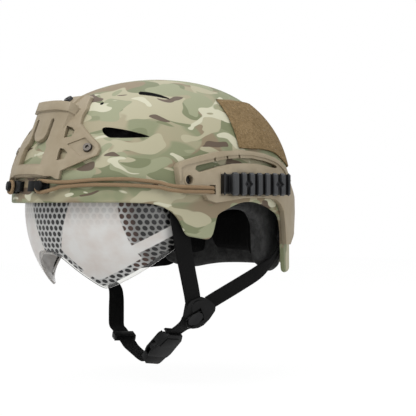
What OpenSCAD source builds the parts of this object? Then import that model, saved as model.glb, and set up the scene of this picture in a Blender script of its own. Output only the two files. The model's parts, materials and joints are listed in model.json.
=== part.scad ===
/* [Shell] */
// half width of the shell over the ears, mm
shell_half_width = 112; // [100:0.5:125]
// half length of the shell, mm
shell_half_length = 140; // [125:0.5:155]
// height of the crown above the brim, mm
shell_height = 118.4; // [100:0.2:135]
// wall thickness of the shell, mm
shell_wall = 3.5; // [2.5:0.1:5]
// how square the shell is seen from above
plan_power = 2.15; // [2:0.05:3]
// how square the shell is seen from the side
profile_power = 2.2; // [2:0.05:3]
// how far the crown leans back, mm
crown_lean = 10; // [0:0.5:20]

/* [Visor] */
// height of the visor pivot from the brim, mm
visor_pivot_z = -6; // [-15:0.5:10]
// position of the visor pivot from front to back, mm
visor_pivot_y = -16; // [-25:0.5:-8]
// how far the front of the lens sits inside the front of the shell, mm
visor_front_gap = 14; // [12:0.5:24]
// how far each side of the lens sits inside the side of the shell, mm
visor_side_gap = 15; // [13:0.5:20]
// thickness of the lens, mm
visor_thickness = 2; // [1.5:0.1:3]

/* [Side rails] */
// thickness of the rail over the shell, mm
rail_thickness = 6; // [4:0.5:9]
// diameter of the round accessory bore at the front of each rail, mm
accessory_bore = 8.4; // [6:0.1:10]
// length of the ribbed rail adapter, mm
adapter_length = 82.5; // [78:0.5:95]
// width across the ribbed rail adapter, mm
adapter_width = 21.2; // [18:0.1:24]
// pitch of the cross slots of the adapter, mm
slot_pitch = 10; // [8:0.1:12]
// width of a cross slot of the adapter, mm
slot_width = 5.3; // [4:0.1:6]

/* [Straps] */
// width of the front strap, mm
front_strap_width = 18; // [15:0.5:25]
// width of the rear strap, mm
rear_strap_width = 14; // [12:0.5:25]
// width of the chin strap, mm
chin_strap_width = 19; // [15:0.5:25]
// thickness of the webbing, mm
webbing = 1.6; // [1:0.1:2.5]
// thickness of an elastic cord, mm
bungee_diameter = 3.4; // [2:0.1:5]

/* [Hidden] */
fit = 0.3;
A = shell_half_width;
B = shell_half_length;
H = shell_height;
visor_radius = B + visor_pivot_y - visor_front_gap;
visor_half_width = A - visor_side_gap;
tan_c = [0.62, 0.52, 0.39];
black_c = [0.08, 0.08, 0.09];
dark_c = [0.2, 0.2, 0.22];

// plan radius at an angle from +X for given half axes, the back half may be longer
function plan_r(phi, a, bf, bb) =
  pow(pow(abs(cos(phi)) / a, plan_power) + pow(abs(sin(phi)) / (sin(phi) < 0 ? bf : bb), plan_power),
      -1 / plan_power);
// shrink of the plan at a height
function shrink(z, h) =
  z <= 0 ? 1 : pow(max(1 - pow(min(z / h, 1), profile_power), 1e-9), 1 / profile_power);
// how far back the plan centre sits at a height
function lean(z) = z <= 0 ? 0 : crown_lean * pow(z / H, 1.6);
// point of a dome
function dome_pt(phi, z, a, bf, bb, h) =
  let (r = plan_r(phi, a, bf, bb) * shrink(z, h))
  [r * cos(phi), r * sin(phi) + lean(z), z];
// point on the outside of the shell, moved out by an offset
function skin(phi, z, off = 0) = dome_pt(phi, z, A + off, B + off, B + off, H + off);
function unit(v) = v / norm(v);
// outward direction of the shell
function skin_n(phi, z) =
  unit(cross(skin(phi + 0.5, z) - skin(phi - 0.5, z), skin(phi, z + 0.5) - skin(phi, z - 0.5)));

// straight table lookup
function look(t, x, i = 0) =
  x <= t[0][0] ? t[0][1] :
  i >= len(t) - 2 || x <= t[i + 1][0] ?
    t[i][1] + (t[i + 1][1] - t[i][1]) * (x - t[i][0]) / (t[i + 1][0] - t[i][0]) :
    look(t, x, i + 1);

// rim height of the left half of the shell against the angle from +X
shell_rim = [[-90, 0], [-83, 0], [-76, 0], [-69, 0], [-62, 0], [-55, 0], [-48, 0], [-42, -0.3],
  [-37, -0.9], [-34, -1.7], [-31, -3.6], [-28.4, -6.2], [-26, -9.6], [-24.2, -13.6], [-22.8, -18],
  [-21.6, -23], [-20.6, -27.2], [-19.4, -29.6], [-17.4, -30.6], [-13, -32], [-9.2, -33.2],
  [-7.2, -32.4], [-6, -29.5], [-5, -23], [-4.2, -16.5], [-3.2, -12], [-1.4, -9.2], [2.6, -6],
  [7.4, -2.2], [12, 0.4], [17.3, 1.1], [22, 0.2], [27, -2.2], [32, -5], [36, -8.2], [39.5, -10.5],
  [42, -14.5], [43.8, -20], [44.8, -28], [45.5, -42], [46.2, -58], [47, -66], [50, -67], [54, -66.5],
  [58, -64.5], [63, -62], [69, -60.1], [76, -59.6], [83, -59.7], [90, -60]];
// rim height of the left half of the liner
liner_rim = [[-90, 7], [-82, 7], [-74, 7], [-66, 7], [-58, 6.6], [-52, 6], [-46, 4.2], [-40, 1], [-34, -7], [-30, -15], [-26, -21],
  [-20, -25], [-13, -26], [-7, -25], [-3, -21], [0, -14], [4, -9.5], [10, -7], [13.5, -5.8], [20, -4], [26.5, -4.6],
  [31, -6.4], [35.6, -10.9], [39.3, -18.6], [40.4, -26.6], [40.8, -46], [42, -55], [45, -59], [50, -62.5],
  [54, -64], [58, -64], [63, -61.7], [69, -59.8], [76, -59.3], [83, -59.4], [90, -59.7]];

// both halves of a rim table as closed columns
function around(t) = concat(t, [for (i = [len(t) - 2:-1:1]) [180 - t[i][0], t[i][1]]]);
rise = [3.7, 9, 15, 22, 30, 38, 47, 56, 65, 74, 83];
// one column of a dome from its rim to near the crown
function column(phi, rim, a, bf, bb, h) = concat(
  [for (j = [0:2]) dome_pt(phi, rim + (8 - rim) * j / 3, a, bf, bb, h)],
  [for (s = rise) dome_pt(phi, max(h * pow(sin(s), 2 / profile_power), 8.01), a, bf, bb, h)]);

// closed bowl between an outer and an inner dome with one rim
module bowl(rims, a1, bf1, bb1, h1, a0, bf0, bb0, h0) {
  cols = around(rims);
  c = len(cols);
  r = len(rise) + 3;
  outer = [for (q = cols) each column(q[0], q[1], a1, bf1, bb1, h1)];
  inner = [for (q = cols) each column(q[0], q[1], a0, bf0, bb0, h0)];
  pts = concat(outer, inner, [[0, lean(h1), h1], [0, lean(h0), h0]]);
  m = c * r;
  faces = concat(
    [for (i = [0:c - 1]) for (j = [0:r - 2]) let (k = (i + 1) % c) each [
      [i * r + j, i * r + j + 1, k * r + j + 1], [i * r + j, k * r + j + 1, k * r + j],
      [m + i * r + j, m + k * r + j + 1, m + i * r + j + 1], [m + i * r + j, m + k * r + j, m + k * r + j + 1]]],
    [for (i = [0:c - 1]) let (k = (i + 1) % c) each [
      [i * r + r - 1, 2 * m, k * r + r - 1], [m + i * r + r - 1, m + k * r + r - 1, 2 * m + 1],
      [i * r, k * r, m + k * r], [i * r, m + k * r, m + i * r]]]);
  polyhedron(points = pts, faces = faces, convexity = 6);
}

// closed slab between an outer and an inner grid of points
module slab(outer, inner) {
  c = len(outer);
  r = len(outer[0]);
  m = c * r;
  pts = concat([for (q = outer) each q], [for (q = inner) each q]);
  faces = concat(
    [for (i = [0:c - 2]) for (j = [0:r - 2]) let (o = i * r + j, k = o + r) each [
      [o, o + 1, k + 1], [o, k + 1, k], [m + o, m + k + 1, m + o + 1], [m + o, m + k, m + k + 1]]],
    [for (i = [0:c - 2]) let (o = i * r, k = o + r, e = r - 1) each [
      [o, k, m + k], [o, m + k, m + o], [o + e, m + o + e, m + k + e], [o + e, m + k + e, k + e]]],
    [for (j = [0:r - 2]) let (o = j, e = (c - 1) * r + j) each [
      [o, m + o, m + o + 1], [o, m + o + 1, o + 1], [e, m + e + 1, m + e], [e, e + 1, m + e + 1]]]);
  polyhedron(points = pts, faces = faces, convexity = 6);
}

// curved block that follows the shell between two offsets
module band(phi0, phi1, nphi, z0, z1, nz, off0, off1) {
  outer = [for (i = [0:nphi]) [for (j = [0:nz])
    skin(phi0 + (phi1 - phi0) * i / nphi, z0 + (z1 - z0) * j / nz, off1)]];
  inner = [for (i = [0:nphi]) [for (j = [0:nz])
    skin(phi0 + (phi1 - phi0) * i / nphi, z0 + (z1 - z0) * j / nz, off0)]];
  slab(outer, inner);
}

// outline drawn from the left side, Y to the back and Z up, as a prism along X
module side_prism(points, x0, x1) {
  translate([x0, 0, 0]) rotate([90, 0, 90]) linear_extrude(x1 - x0) polygon(points);
}
// outline drawn from the front, X to the left and Z up, as a prism along Y
module front_prism(points, y0, y1) {
  translate([0, y1, 0]) rotate([90, 0, 0]) linear_extrude(y1 - y0) polygon(points);
}
// stands its children on a point with Z along a direction
module aim(p, v) {
  u = unit(v);
  translate(p) rotate([0, acos(u[2]), atan2(u[1], u[0])]) children();
}

// smooth curve through control points
function curve(p, m) = let (n = len(p)) concat(
  [for (i = [0:n - 2]) for (s = [0:m - 1]) let (
    t = s / m, a = p[max(i - 1, 0)], b = p[i], c = p[i + 1], d = p[min(i + 2, n - 1)])
    0.5 * (2 * b + (c - a) * t + (2 * a - 5 * b + 4 * c - d) * t * t + (3 * b - a - 3 * c + d) * t * t * t)],
  [p[n - 1]]);
function tangent(p, i) =
  unit(p[min(i + 1, len(p) - 1)] - p[max(i - 1, 0)]);
function across(p, w, i) = let (t = tangent(p, i)) unit(w[i] - (w[i] * t) * t);

// flat webbing along a curve, w gives the direction of its width
module ribbon(p, w, width, thick) {
  n = len(p);
  pts = [for (i = [0:n - 1]) let (s = across(p, w, i), u = cross(tangent(p, i), s))
    for (q = [[-1, -1], [1, -1], [1, 1], [-1, 1]]) p[i] + s * q[0] * width / 2 + u * q[1] * thick / 2];
  faces = concat([[0, 1, 2, 3]], [[4 * n - 1, 4 * n - 2, 4 * n - 3, 4 * n - 4]],
    [for (i = [0:n - 2]) for (k = [0:3]) let (
      a = i * 4 + k, b = i * 4 + (k + 1) % 4, c = b + 4, d = a + 4) each [[a, d, c], [a, c, b]]]);
  polyhedron(points = pts, faces = faces, convexity = 6);
}

// round cord along a curve
module cord(p, d, sides = 8) {
  n = len(p);
  pts = [for (i = [0:n - 1]) let (
    t = tangent(p, i), s = unit(cross([0.1, 0.05, 1], t)), u = cross(t, s))
    for (k = [0:sides - 1]) p[i] + (s * cos(360 * k / sides) + u * sin(360 * k / sides)) * d / 2];
  faces = concat([[for (k = [0:sides - 1]) k]], [[for (k = [sides - 1:-1:0]) (n - 1) * sides + k]],
    [for (i = [0:n - 2]) for (k = [0:sides - 1]) let (
      a = i * sides + k, b = i * sides + (k + 1) % sides, c = b + sides, e = a + sides)
      each [[a, e, c], [a, c, b]]]);
  polyhedron(points = pts, faces = faces, convexity = 6);
}

// fasteners through the shell: angle from +X, height
shroud_screw_at = [-62.5, 46.3];
top_screw_at = [-90, 89.5];
front_bolt_at = [-22, 11.5];
rear_bolt_at = [50.5, -32];
bolt_r = 2.2;

// point over the shell on the line of its own direction
function over(at, off) = skin(at[0], at[1]) + skin_n(at[0], at[1]) * off;
// drill along the shell's own direction
module drill(at, r, from = -12, to = 14) {
  aim(over(at, from), skin_n(at[0], at[1])) cylinder(h = to - from, r = r, $fn = 24);
}

module shell_holes() {
  drill(shroud_screw_at, bolt_r + fit);
  drill(front_bolt_at, bolt_r + fit);
  drill(rear_bolt_at, bolt_r + fit);
  // small breather hole
  drill([-67.8, 90], 1.8);
  // long teardrop vent over the temple
  side_prism([[-94.5, 56.8], [-96.8, 59.5], [-97.2, 63.5], [-95.6, 66.4], [-92, 67], [-80, 64],
    [-64.5, 58.8], [-65, 57.6], [-80, 56.8]], 40, 125);
  // narrow vent near the crown
  linear_extrude(130) polygon([[52, -51], [48, -50], [46.8, -46], [66, -29], [70, -28.6]]);
}

module shell() {
  color([0.55, 0.56, 0.42]) difference() {
    bowl(shell_rim, A, B, B, H, A - shell_wall, B - shell_wall, B - shell_wall, H - shell_wall);
    shell_holes();
    mirror([1, 0, 0]) shell_holes();
    drill(top_screw_at, bolt_r + fit);
  }
}

// face of the night vision plate: foot, head and the directions of its plane
plate_foot = [0, -B - 1.5, 23];
plate_up = unit([0, 28, 70]);
plate_out = unit([0, -70, 28]);
plate_half = 28.5;
// stands its children on the plate, X across, Y up the plate, Z out of it
module on_plate() {
  multmatrix([[1, 0, 0, plate_foot[0]], [0, plate_up[1], plate_out[1], plate_foot[1]],
    [0, plate_up[2], plate_out[2], plate_foot[2]], [0, 0, 0, 1]]) children();
}

// outline over the front of the shell as a prism that leans with the wing, X as at Y = -110
module wing_prism(points) {
  multmatrix([[1, -0.6, 0, -66], [0, 1, 0, 0], [0, 0, 1, 0]]) front_prism(points, -170, -60);
}

module shroud_half() {
  // wing that lies on the shell, with its two windows and the seat of its screw
  difference() {
    intersection() {
      band(-92, -52, 12, 18, 106, 11, fit, 4.5);
      wing_prism([[-40, 22.8], [20.3, 22.8], [26, 20.2], [30.2, 19.7], [31.5, 27.5], [52.6, 34.6],
        [70.1, 41.1], [71.9, 46.2], [69, 51.3], [59, 58.3], [42.6, 70.2], [41, 77.4], [41.8, 84.5],
        [36.8, 96.1], [31.4, 98.7], [-40, 98.7]]);
    }
    wing_prism([[26.5, 68.8], [34.9, 66.8], [39, 63.8], [36.9, 58.6], [27.6, 57.4], [27, 64.7]]);
    wing_prism([[26.5, 47.9], [31.6, 47.2], [36.6, 43.8], [34, 38.2], [24.9, 36.9], [25.3, 43.9]]);
    intersection() {
      band(-76, -52, 5, 34, 62, 3, 3.5, 9);
      wing_prism([[34.2, 51.5], [53.7, 57.2], [67.2, 47.9], [64.6, 42.3], [53.5, 39.9]]);
    }
  }
}

module front_shroud() {
  color(tan_c) difference() {
    union() {
      shroud_half();
      mirror([1, 0, 0]) shroud_half();
      // raised lug for the top screw
      intersection() {
        band(-106, -74, 8, 80, 100, 5, fit, 6);
        front_prism([[-15, 82], [15, 82], [12, 98.2], [-12, 98.2]], -170, -40);
      }
      // front plate with its bars
      on_plate() translate([0, 0, 0]) rotate([-90, 0, 0]) mirror([0, 1, 0]) linear_extrude(73)
        polygon([[-29, -42], [-plate_half, -5], [-20, -1.2], [-10, 0], [10, 0], [20, -1.2],
          [plate_half, -5], [29, -42]]);
      on_plate() translate([0, 65, 0]) rotate([-90, 0, 0]) mirror([0, 1, 0]) linear_extrude(9)
        polygon([[-29.5, -12], [-29.5, -3], [-20, 1.8], [-8, 3], [8, 3], [20, 1.8], [29.5, -3], [29.5, -12]]);
      on_plate() translate([0, 1, 0]) rotate([-90, 0, 0]) mirror([0, 1, 0]) linear_extrude(8.5)
        polygon([[-31, -12], [-31, -4], [-20, 1.8], [-8, 3], [8, 3], [20, 1.8], [31, -4], [31, -12]]);
    }
    // hollow side towards the shell
    band(-125, -55, 18, 5, 112, 12, -45, fit);
    on_plate() translate([0, 10, 0]) rotate([-90, 0, 0]) mirror([0, 1, 0]) linear_extrude(52)
      polygon([[-25, -60], [-24.5, -8], [-18, -4.8], [-9, -3.6], [9, -3.6], [18, -4.8], [24.5, -8], [25, -60]]);
    // window with two slots beside the tongue
    on_plate() translate([0, 0, -30]) linear_extrude(40) difference() {
      union() {
        translate([-15.5, 28]) square([31, 27]);
        translate([-13, 55]) circle(r = 2.5, $fn = 24);
        translate([13, 55]) circle(r = 2.5, $fn = 24);
        polygon([[-19.5, 11.5], [19.5, 11.5], [19.5, 28], [15.5, 33], [-15.5, 33], [-19.5, 28]]);
      }
      translate([0, 45]) circle(r = 10.5, $fn = 48);
      translate([-10.5, 45]) square([21, 20]);
    }
    drill(shroud_screw_at, bolt_r + fit);
    mirror([1, 0, 0]) drill(shroud_screw_at, bolt_r + fit);
    drill(top_screw_at, bolt_r + fit, -12, 20);
  }
}

// pan head screw along the shell's direction, standing on an offset
module shell_screw(at, seat, head_r, head_h, socket) {
  n = skin_n(at[0], at[1]);
  difference() {
    union() {
      aim(over(at, -7), n) cylinder(h = 7.4 + seat, r = bolt_r, $fn = 32);
      aim(over(at, seat), n) cylinder(h = head_h, r1 = head_r, r2 = head_r * 0.86, $fn = 40);
      // barrel nut inside the shell
      aim(over(at, -8), n) cylinder(h = 7.4 - shell_wall - fit, r = 4, $fn = 32);
    }
    aim(over(at, seat + head_h - socket), n)
      linear_extrude(socket + 1) polygon([for (k = [0:5]) [1.9 * cos(60 * k), 1.9 * sin(60 * k)]]);
  }
}
module shroud_screw_left() {
  color([0.75, 0.75, 0.76]) shell_screw(shroud_screw_at, 3.6, 4.4, 2.2, 1.6);
}
module shroud_screw_right() {
  mirror([1, 0, 0]) shroud_screw_left();
}
module shroud_top_screw() {
  color(black_c) shell_screw(top_screw_at, 6.3, 4.6, 2.2, 1.4);
}

// black bracket with a knob that holds the elastic cord
hook_at = [-79.5, 13.5];
module lanyard_hook_left() {
  color(black_c) {
    union() {
      band(-87.2, -83.2, 2, 9.2, 18.6, 1, fit, 4.4);
      band(-83.5, -76.8, 2, 7.5, 19.5, 1, fit, 3);
      aim(over(hook_at, 2), skin_n(hook_at[0], hook_at[1])) cylinder(h = 6, r = 2.9, $fn = 32);
      aim(over(hook_at, 7.4), skin_n(hook_at[0], hook_at[1]))
        cylinder(h = 2, r1 = 4.8, r2 = 4.2, $fn = 40);
    }
  }
}
module lanyard_hook_right() {
  mirror([1, 0, 0]) lanyard_hook_left();
}

// elastic cord: angle, height and offset from the shell, out over the rail, round the knob and back
bungee_path = [[-7.7, 12, 3], [-8.1, 12.1, 7], [-9.9, 12.4, 8.6], [-15, 12.7, 8.6],
  [-24, 13.2, 8.7], [-28.5, 14.4, 7], [-32.1, 16.6, 4.2], [-38, 18.3, 2.6], [-46.1, 19.8, 2.6],
  [-57.5, 19.2, 2.6], [-66, 17.6, 2.6], [-71, 17.2, 2.8], [-75.5, 17.9, 4.8], [-79.5, 18.7, 5.2],
  [-81.1, 17.2, 5.2], [-81.7, 13.5, 5.2], [-81.1, 9.8, 5.2], [-79.5, 8.3, 5.2], [-76, 9.4, 4.9],
  [-72.5, 11.8, 3.1], [-70, 13.2, 2.6], [-57.3, 14.8, 2.6], [-45.9, 14.4, 2.6], [-38, 13.6, 2.6],
  [-32, 12.4, 4.2], [-28.5, 10.5, 7], [-24, 9.3, 8.6], [-15, 8.9, 8.6], [-9.9, 8.7, 8.6],
  [-8.1, 8.6, 7], [-7.7, 8.5, 3]];
module bungee_left() {
  color([0.6, 0.42, 0.29])
    cord(curve([for (q = bungee_path) skin(q[0], q[1], q[2])], 2), bungee_diameter, 6);
}
module bungee_right() {
  mirror([1, 0, 0]) bungee_left();
}

// straight seat of the rail adapter: corner of its inner face and its directions
adapter_tilt = 5.3;
adapter_start = [A + 6.3, -7.9];
adapter_z = 16;
// stands its children on the adapter seat, X along it to the back, Y up, Z outwards
module on_seat() {
  translate([adapter_start[0], adapter_start[1], adapter_z])
    rotate([0, 0, adapter_tilt]) rotate([90, 0, 90]) children();
}
adapter_screw_at = [28.5, 68.5];

rail_outline = [[-48, 33.8], [-49.8, 30.5], [-49.2, 17], [-47.8, 11], [-45, 8], [-41, 6.6], [-23.7, 5.9],
  [-21, 1.6], [-12, -1.1], [3.7, 0.9], [20, 3.2], [50, 3.6], [66, 2.2], [74, -2], [80, -8.5],
  [83.6, -24], [85.4, -40], [95.8, -40.8], [108, -31], [112, -10], [110.5, 5], [101, 14], [93.5, 24],
  [90.6, 28.2], [88, 32.5], [79, 37.4], [67, 41.6], [49.7, 45.2], [22.4, 47.5], [-5.2, 45.5],
  [-26.5, 40.9], [-43, 36.2]];
// flat field of the rail inside its raised lip
rail_field = [[-60, 18], [-47.5, 18], [-46.8, 30], [-42, 32.6], [-28, 36], [-10.6, 39.4], [2.7, 41.6],
  [17, 43], [34.8, 42.8], [53, 40.6], [67, 37.4], [76, 34], [84, 29], [90, 20], [130, 20], [130, -60], [-60, -60]];
rail_lip = 1.2;
// round accessory bore: angle and height, and its flat ends over the shell
accessory_at = [-20.55, 19.4];
accessory_p = skin(accessory_at[0], accessory_at[1], 0);
accessory_floor = accessory_p[0] + 1.5;
accessory_face = accessory_p[0] + rail_thickness + 0.9;
module on_accessory(from, to, r) {
  translate([from, accessory_p[1], accessory_p[2]]) rotate([0, 90, 0]) cylinder(h = to - from, r = r, $fn = 48);
}

module side_rail_left() {
  color(tan_c) difference() {
    union() {
      difference() {
        intersection() {
          band(-34, 62, 24, -42, 48, 8, fit, fit + rail_thickness + rail_lip);
          side_prism(rail_outline, 50, A + 23);
        }
        // flat field inside the lip
        intersection() {
          band(-34.5, 62.5, 24, -42.5, 47, 8, fit + rail_thickness, fit + rail_thickness + 6);
          side_prism(rail_field, 50, A + 23);
        }
      }
      // raised ring of the accessory bore
      on_accessory(accessory_floor + 0.5, accessory_face, accessory_bore / 2 + 1.2);
      // straight seat under the adapter
      on_seat() translate([1, -adapter_width / 2, -14]) cube([adapter_length - 2, adapter_width, 14 - fit]);
    }
    // room for the shell
    band(-14, 52, 18, -6, 40, 5, -14, fit);
    // room for the adapter
    on_seat() translate([-fit, -adapter_width / 2 - fit, -fit]) cube([adapter_length + 2 * fit, adapter_width + 2 * fit, 20]);
    // long curved slot over the adapter
    side_prism([[-33, 29], [-31.5, 31.8], [-28, 32.9], [-10.6, 36.6], [2.7, 38.8], [17, 40.2], [34.8, 40],
      [53, 37.8], [67.8, 34.8], [70.5, 33], [69, 31.6], [62.5, 32], [50, 33.8], [37.4, 35.1], [22, 35.2],
      [8.5, 34.6], [-8, 31.8], [-26.3, 26.8], [-30, 26.6]], 50, A + 23);
    // small notches over the curved slot
    for (q = [[-11, 35.6, 39.8], [3.5, 37.9, 41.8], [18, 39.2, 43]])
      side_prism([[q[0] - 1, q[1]], [q[0] + 1, q[1]], [q[0] + 1, q[2]], [q[0] - 1, q[2]]], 50, A + 23);
    // round accessory bore
    on_accessory(60, accessory_face + 20, accessory_bore / 2);
    for (q = [[60, accessory_floor], [accessory_face, accessory_face + 20]])
      on_accessory(q[0], q[1], accessory_bore / 2 + 1.2);
    // slot for the ends of the elastic cord
    side_prism([[-19.5, 6.6], [-13, 6.6], [-13, 14.9], [-19.5, 14.9]], A - 12, A + 23);
    drill(front_bolt_at, bolt_r + fit, -2, 4.5);
    drill(rear_bolt_at, bolt_r + fit, -2, 4.5);
    for (u = adapter_screw_at) on_seat() translate([u, 0, -20]) cylinder(h = 30, r = 1.5 + fit, $fn = 24);
  }
}
module side_rail_right() {
  mirror([1, 0, 0]) side_rail_left();
}

module rail_adapter_left() {
  w = adapter_width / 2;
  color(dark_c) on_seat() difference() {
    rotate([90, 0, 90]) linear_extrude(adapter_length)
      polygon([[-w + 1.6, 0], [w - 1.6, 0], [w - 1.6, 1.2], [w - 2.8, 2.6], [w, 5], [w - 1.8, 7.2],
        [-w + 1.8, 7.2], [-w, 5], [-w + 2.8, 2.6], [-w + 1.6, 1.2]]);
    // cross slots
    for (k = [0:6]) translate([18.5 - slot_width / 2 + k * slot_pitch, -w - 1, 4.2]) cube([slot_width, 2 * w + 2, 5]);
    // chamfered front end
    translate([-6, -w - 1, 7.2]) rotate([0, 20, 0]) cube([16, 2 * w + 2, 8]);
    for (u = adapter_screw_at) translate([u, 0, 0]) {
      translate([0, 0, -1]) cylinder(h = 10, r = 1.5 + fit, $fn = 24);
      translate([0, 0, 2.2]) cylinder(h = 10, r = 3.2, $fn = 32);
      translate([0, 0, 4.2]) rotate([0, 0, 45]) translate([-4, -4, 0]) cube([8, 8, 5]);
    }
  }
}
module rail_adapter_right() {
  mirror([1, 0, 0]) rail_adapter_left();
}

module adapter_screws_left() {
  color([0.3, 0.3, 0.32]) for (u = adapter_screw_at) on_seat() translate([u, 0, 0]) difference() {
    union() {
      translate([0, 0, -2.4]) cylinder(h = 5, r = 1.5, $fn = 24);
      translate([0, 0, 2.4]) cylinder(h = 1.9, r = 2.9, $fn = 32);
    }
    translate([0, 0, 3.4]) linear_extrude(2) polygon([for (k = [0:5]) [1.4 * cos(60 * k), 1.4 * sin(60 * k)]]);
  }
}
module adapter_screws_right() {
  mirror([1, 0, 0]) adapter_screws_left();
}

// brown loop patch round the back, above the rails
module rear_loop_patch() {
  edge = [[12, 50], [17, 50], [22, 50], [27, 50], [32, 49.6], [36, 48.8], [40, 47.5], [45, 44], [50, 39.6], [56, 36.6],
    [62, 35.4], [69, 35], [76, 35], [83, 35], [90, 35]];
  list = concat(edge, [for (k = [len(edge) - 2:-1:0]) [180 - edge[k][0], edge[k][1]]]);
  color([0.42, 0.33, 0.24]) slab(
    [for (q = list) [for (j = [0:6]) skin(q[0], q[1] + (96 - q[1]) * j / 6, 2.5)]],
    [for (q = list) [for (j = [0:6]) skin(q[0], q[1] + (96 - q[1]) * j / 6, 0.45)]]);
}

// clearance of a pin that turns in its hole
running = 0.08;
// point of the lens: angle across, angle down from the pivot, radius and half width
function lens_pt(t, down, r, a) = let (
  x = a * sign(sin(t)) * pow(abs(sin(t)), 2 / 2.2), q = r * pow(abs(cos(t)), 2 / 2.2))
  [x, visor_pivot_y - q * cos(down), visor_pivot_z - q * sin(down)];
// lower edge of the lens with the notch for the nose
lens_low = [[0, 22.5], [5, 23], [8, 24], [10, 25.2], [12.5, 27.8], [15, 30.8], [17.5, 34.2],
  [20, 37.8], [22, 41], [24, 44.8], [25.5, 46.8], [28, 47.8], [31, 48], [35, 48.1], [40, 48.6],
  [45, 49.2], [50, 50], [55, 51.2], [60, 52.6], [65, 55], [70, 58.6], [75, 63], [79, 64], [83, 60]];
function lens_up(t) = let (q = visor_radius * pow(abs(cos(t)), 2 / 2.2)) -asin(min(14 / q, 0.8));
module visor_lens() {
  n = len(lens_low);
  ts = concat([for (k = [n - 1:-1:1]) [-lens_low[k][0], lens_low[k][1]]], lens_low);
  rows = 7;
  color([0.78, 0.78, 0.76, 0.6]) difference() {
    union() {
      slab(
        [for (q = ts) [for (j = [0:rows]) lens_pt(q[0], q[1] + (lens_up(q[0]) - q[1]) * j / rows, visor_radius, visor_half_width)]],
        [for (q = ts) [for (j = [0:rows]) lens_pt(q[0], q[1] + (lens_up(q[0]) - q[1]) * j / rows,
          visor_radius - visor_thickness, visor_half_width - visor_thickness)]]);
      for (s = [-1, 1]) translate([s > 0 ? visor_half_width - 3.2 : -visor_half_width - 0.8, visor_pivot_y, visor_pivot_z])
        rotate([0, 90, 0]) cylinder(h = 4, r = 19, $fn = 64);
    }
    translate([-120, visor_pivot_y, visor_pivot_z]) rotate([0, 90, 0]) cylinder(h = 240, r = 2.4 + running, $fn = 32);
  }
}
pivot_face = visor_half_width + 0.8 + fit;
module visor_pivot_left() {
  color(black_c) difference() {
    translate([pivot_face, visor_pivot_y, visor_pivot_z]) rotate([0, 90, 0]) cylinder(h = 14, r = 8, $fn = 48);
    translate([pivot_face - 1, visor_pivot_y, visor_pivot_z]) rotate([0, 90, 0]) cylinder(h = 8, r = 2.4 + fit, $fn = 32);
    band(-22, 8, 12, -30, 14, 2, -shell_wall - fit, 12);
  }
}
module visor_pivot_right() {
  mirror([1, 0, 0]) visor_pivot_left();
}
module visor_screw_left() {
  x0 = visor_half_width - 3.2 - fit;
  color([0.6, 0.6, 0.62]) difference() {
    union() {
      translate([x0 - 1.6, visor_pivot_y, visor_pivot_z]) rotate([0, 90, 0]) cylinder(h = 1.6, r = 6, $fn = 48);
      translate([x0 - 0.1, visor_pivot_y, visor_pivot_z]) rotate([0, 90, 0]) cylinder(h = 10.5, r = 2.4, $fn = 32);
    }
    translate([x0 - 2, visor_pivot_y - 0.6, visor_pivot_z - 4]) cube([1.2, 1.2, 8]);
  }
}
module visor_screw_right() {
  mirror([1, 0, 0]) visor_screw_left();
}

// soft liner shell, clear of the visor at the front
liner_a = visor_half_width - 6;
liner_f = visor_radius - visor_pivot_y - 14;
liner_b = B - shell_wall - fit;
liner_h = H - shell_wall - fit;
liner_t = 9;
module liner() {
  color([0.27, 0.27, 0.28])
    bowl(liner_rim, liner_a, liner_f, liner_b, liner_h, liner_a - liner_t, liner_f - liner_t,
      liner_b - liner_t, liner_h - liner_t);
}
function in_liner(phi, z, off) = let (g = liner_t + 0.7 + off)
  dome_pt(phi, z, liner_a - g, liner_f - g, liner_b - g, liner_h - g);
module pad(phi0, phi1, nphi, z0, z1, nz, thick) {
  slab([for (i = [0:nphi]) [for (j = [0:nz])
      in_liner(phi0 + (phi1 - phi0) * i / nphi, z0 + (z1 - z0) * j / nz, 0)]],
    [for (i = [0:nphi]) [for (j = [0:nz])
      in_liner(phi0 + (phi1 - phi0) * i / nphi, z0 + (z1 - z0) * j / nz, thick)]]);
}
module crown_pad() {
  color(black_c) translate([0, lean(H - 28.4), H - 32.1]) {
    cylinder(h = 8, r1 = 36, r2 = 38, $fn = 72);
    translate([0, 0, 8]) cylinder(h = 2.5, r1 = 38, r2 = 35, $fn = 72);
  }
}
module front_pad() {
  color(black_c) pad(-122, -58, 12, 14, 46, 3, 9);
}
module side_pad_left() {
  color(black_c) pad(-32, 26, 10, 12, 48, 3, 8);
}
module side_pad_right() {
  mirror([1, 0, 0]) side_pad_left();
}
module rear_pad() {
  color(black_c) pad(66, 114, 10, -50, -4, 3, 10);
}
module nape_pad_left() {
  color(black_c) pad(44, 64, 7, -53, -8, 3, 9);
}
module nape_pad_right() {
  mirror([1, 0, 0]) nape_pad_left();
}

// webbing routes, left side
function skin_t(phi, z) = unit(skin(phi + 1, z) - skin(phi - 1, z));
lie = -shell_wall - fit - webbing / 2 - 0.7;
front_path = [skin(-24, 21, lie - 0.3), skin(-24, 13, lie), skin(-24, 3, lie), [101.2, -42.5, -10],
  [99.3, -36, -41], [94.6, -27.5, -64], [89.4, -19.5, -82], [87.2, -16, -92]];
front_w = [skin_t(-24, 15), skin_t(-24, 15), skin_t(-24, 3), [0.2, 0.97, 0.08], [0.05, 1, 0.22], [0, 1, 0.35],
  [0, 1, 0.4], [0, 1, 0.4]];
rear_path = [skin(50.5, -24, lie - 0.2), skin(50.5, -32, lie), skin(50, -42, lie), [82.4, 79.5, -57.5],
  [84, 62, -67.5], [85.6, 38, -78], [86.8, 12, -89], [86.9, 1, -94]];
rear_w = [skin_t(50.5, -24), skin_t(50.5, -32), skin_t(50, -42), [-0.55, 0.75, -0.35], [-0.1, 0.5, -0.85],
  [0, 0.42, -0.9], [0, 0.4, -0.9], [0, 0.4, -0.9]];
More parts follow.
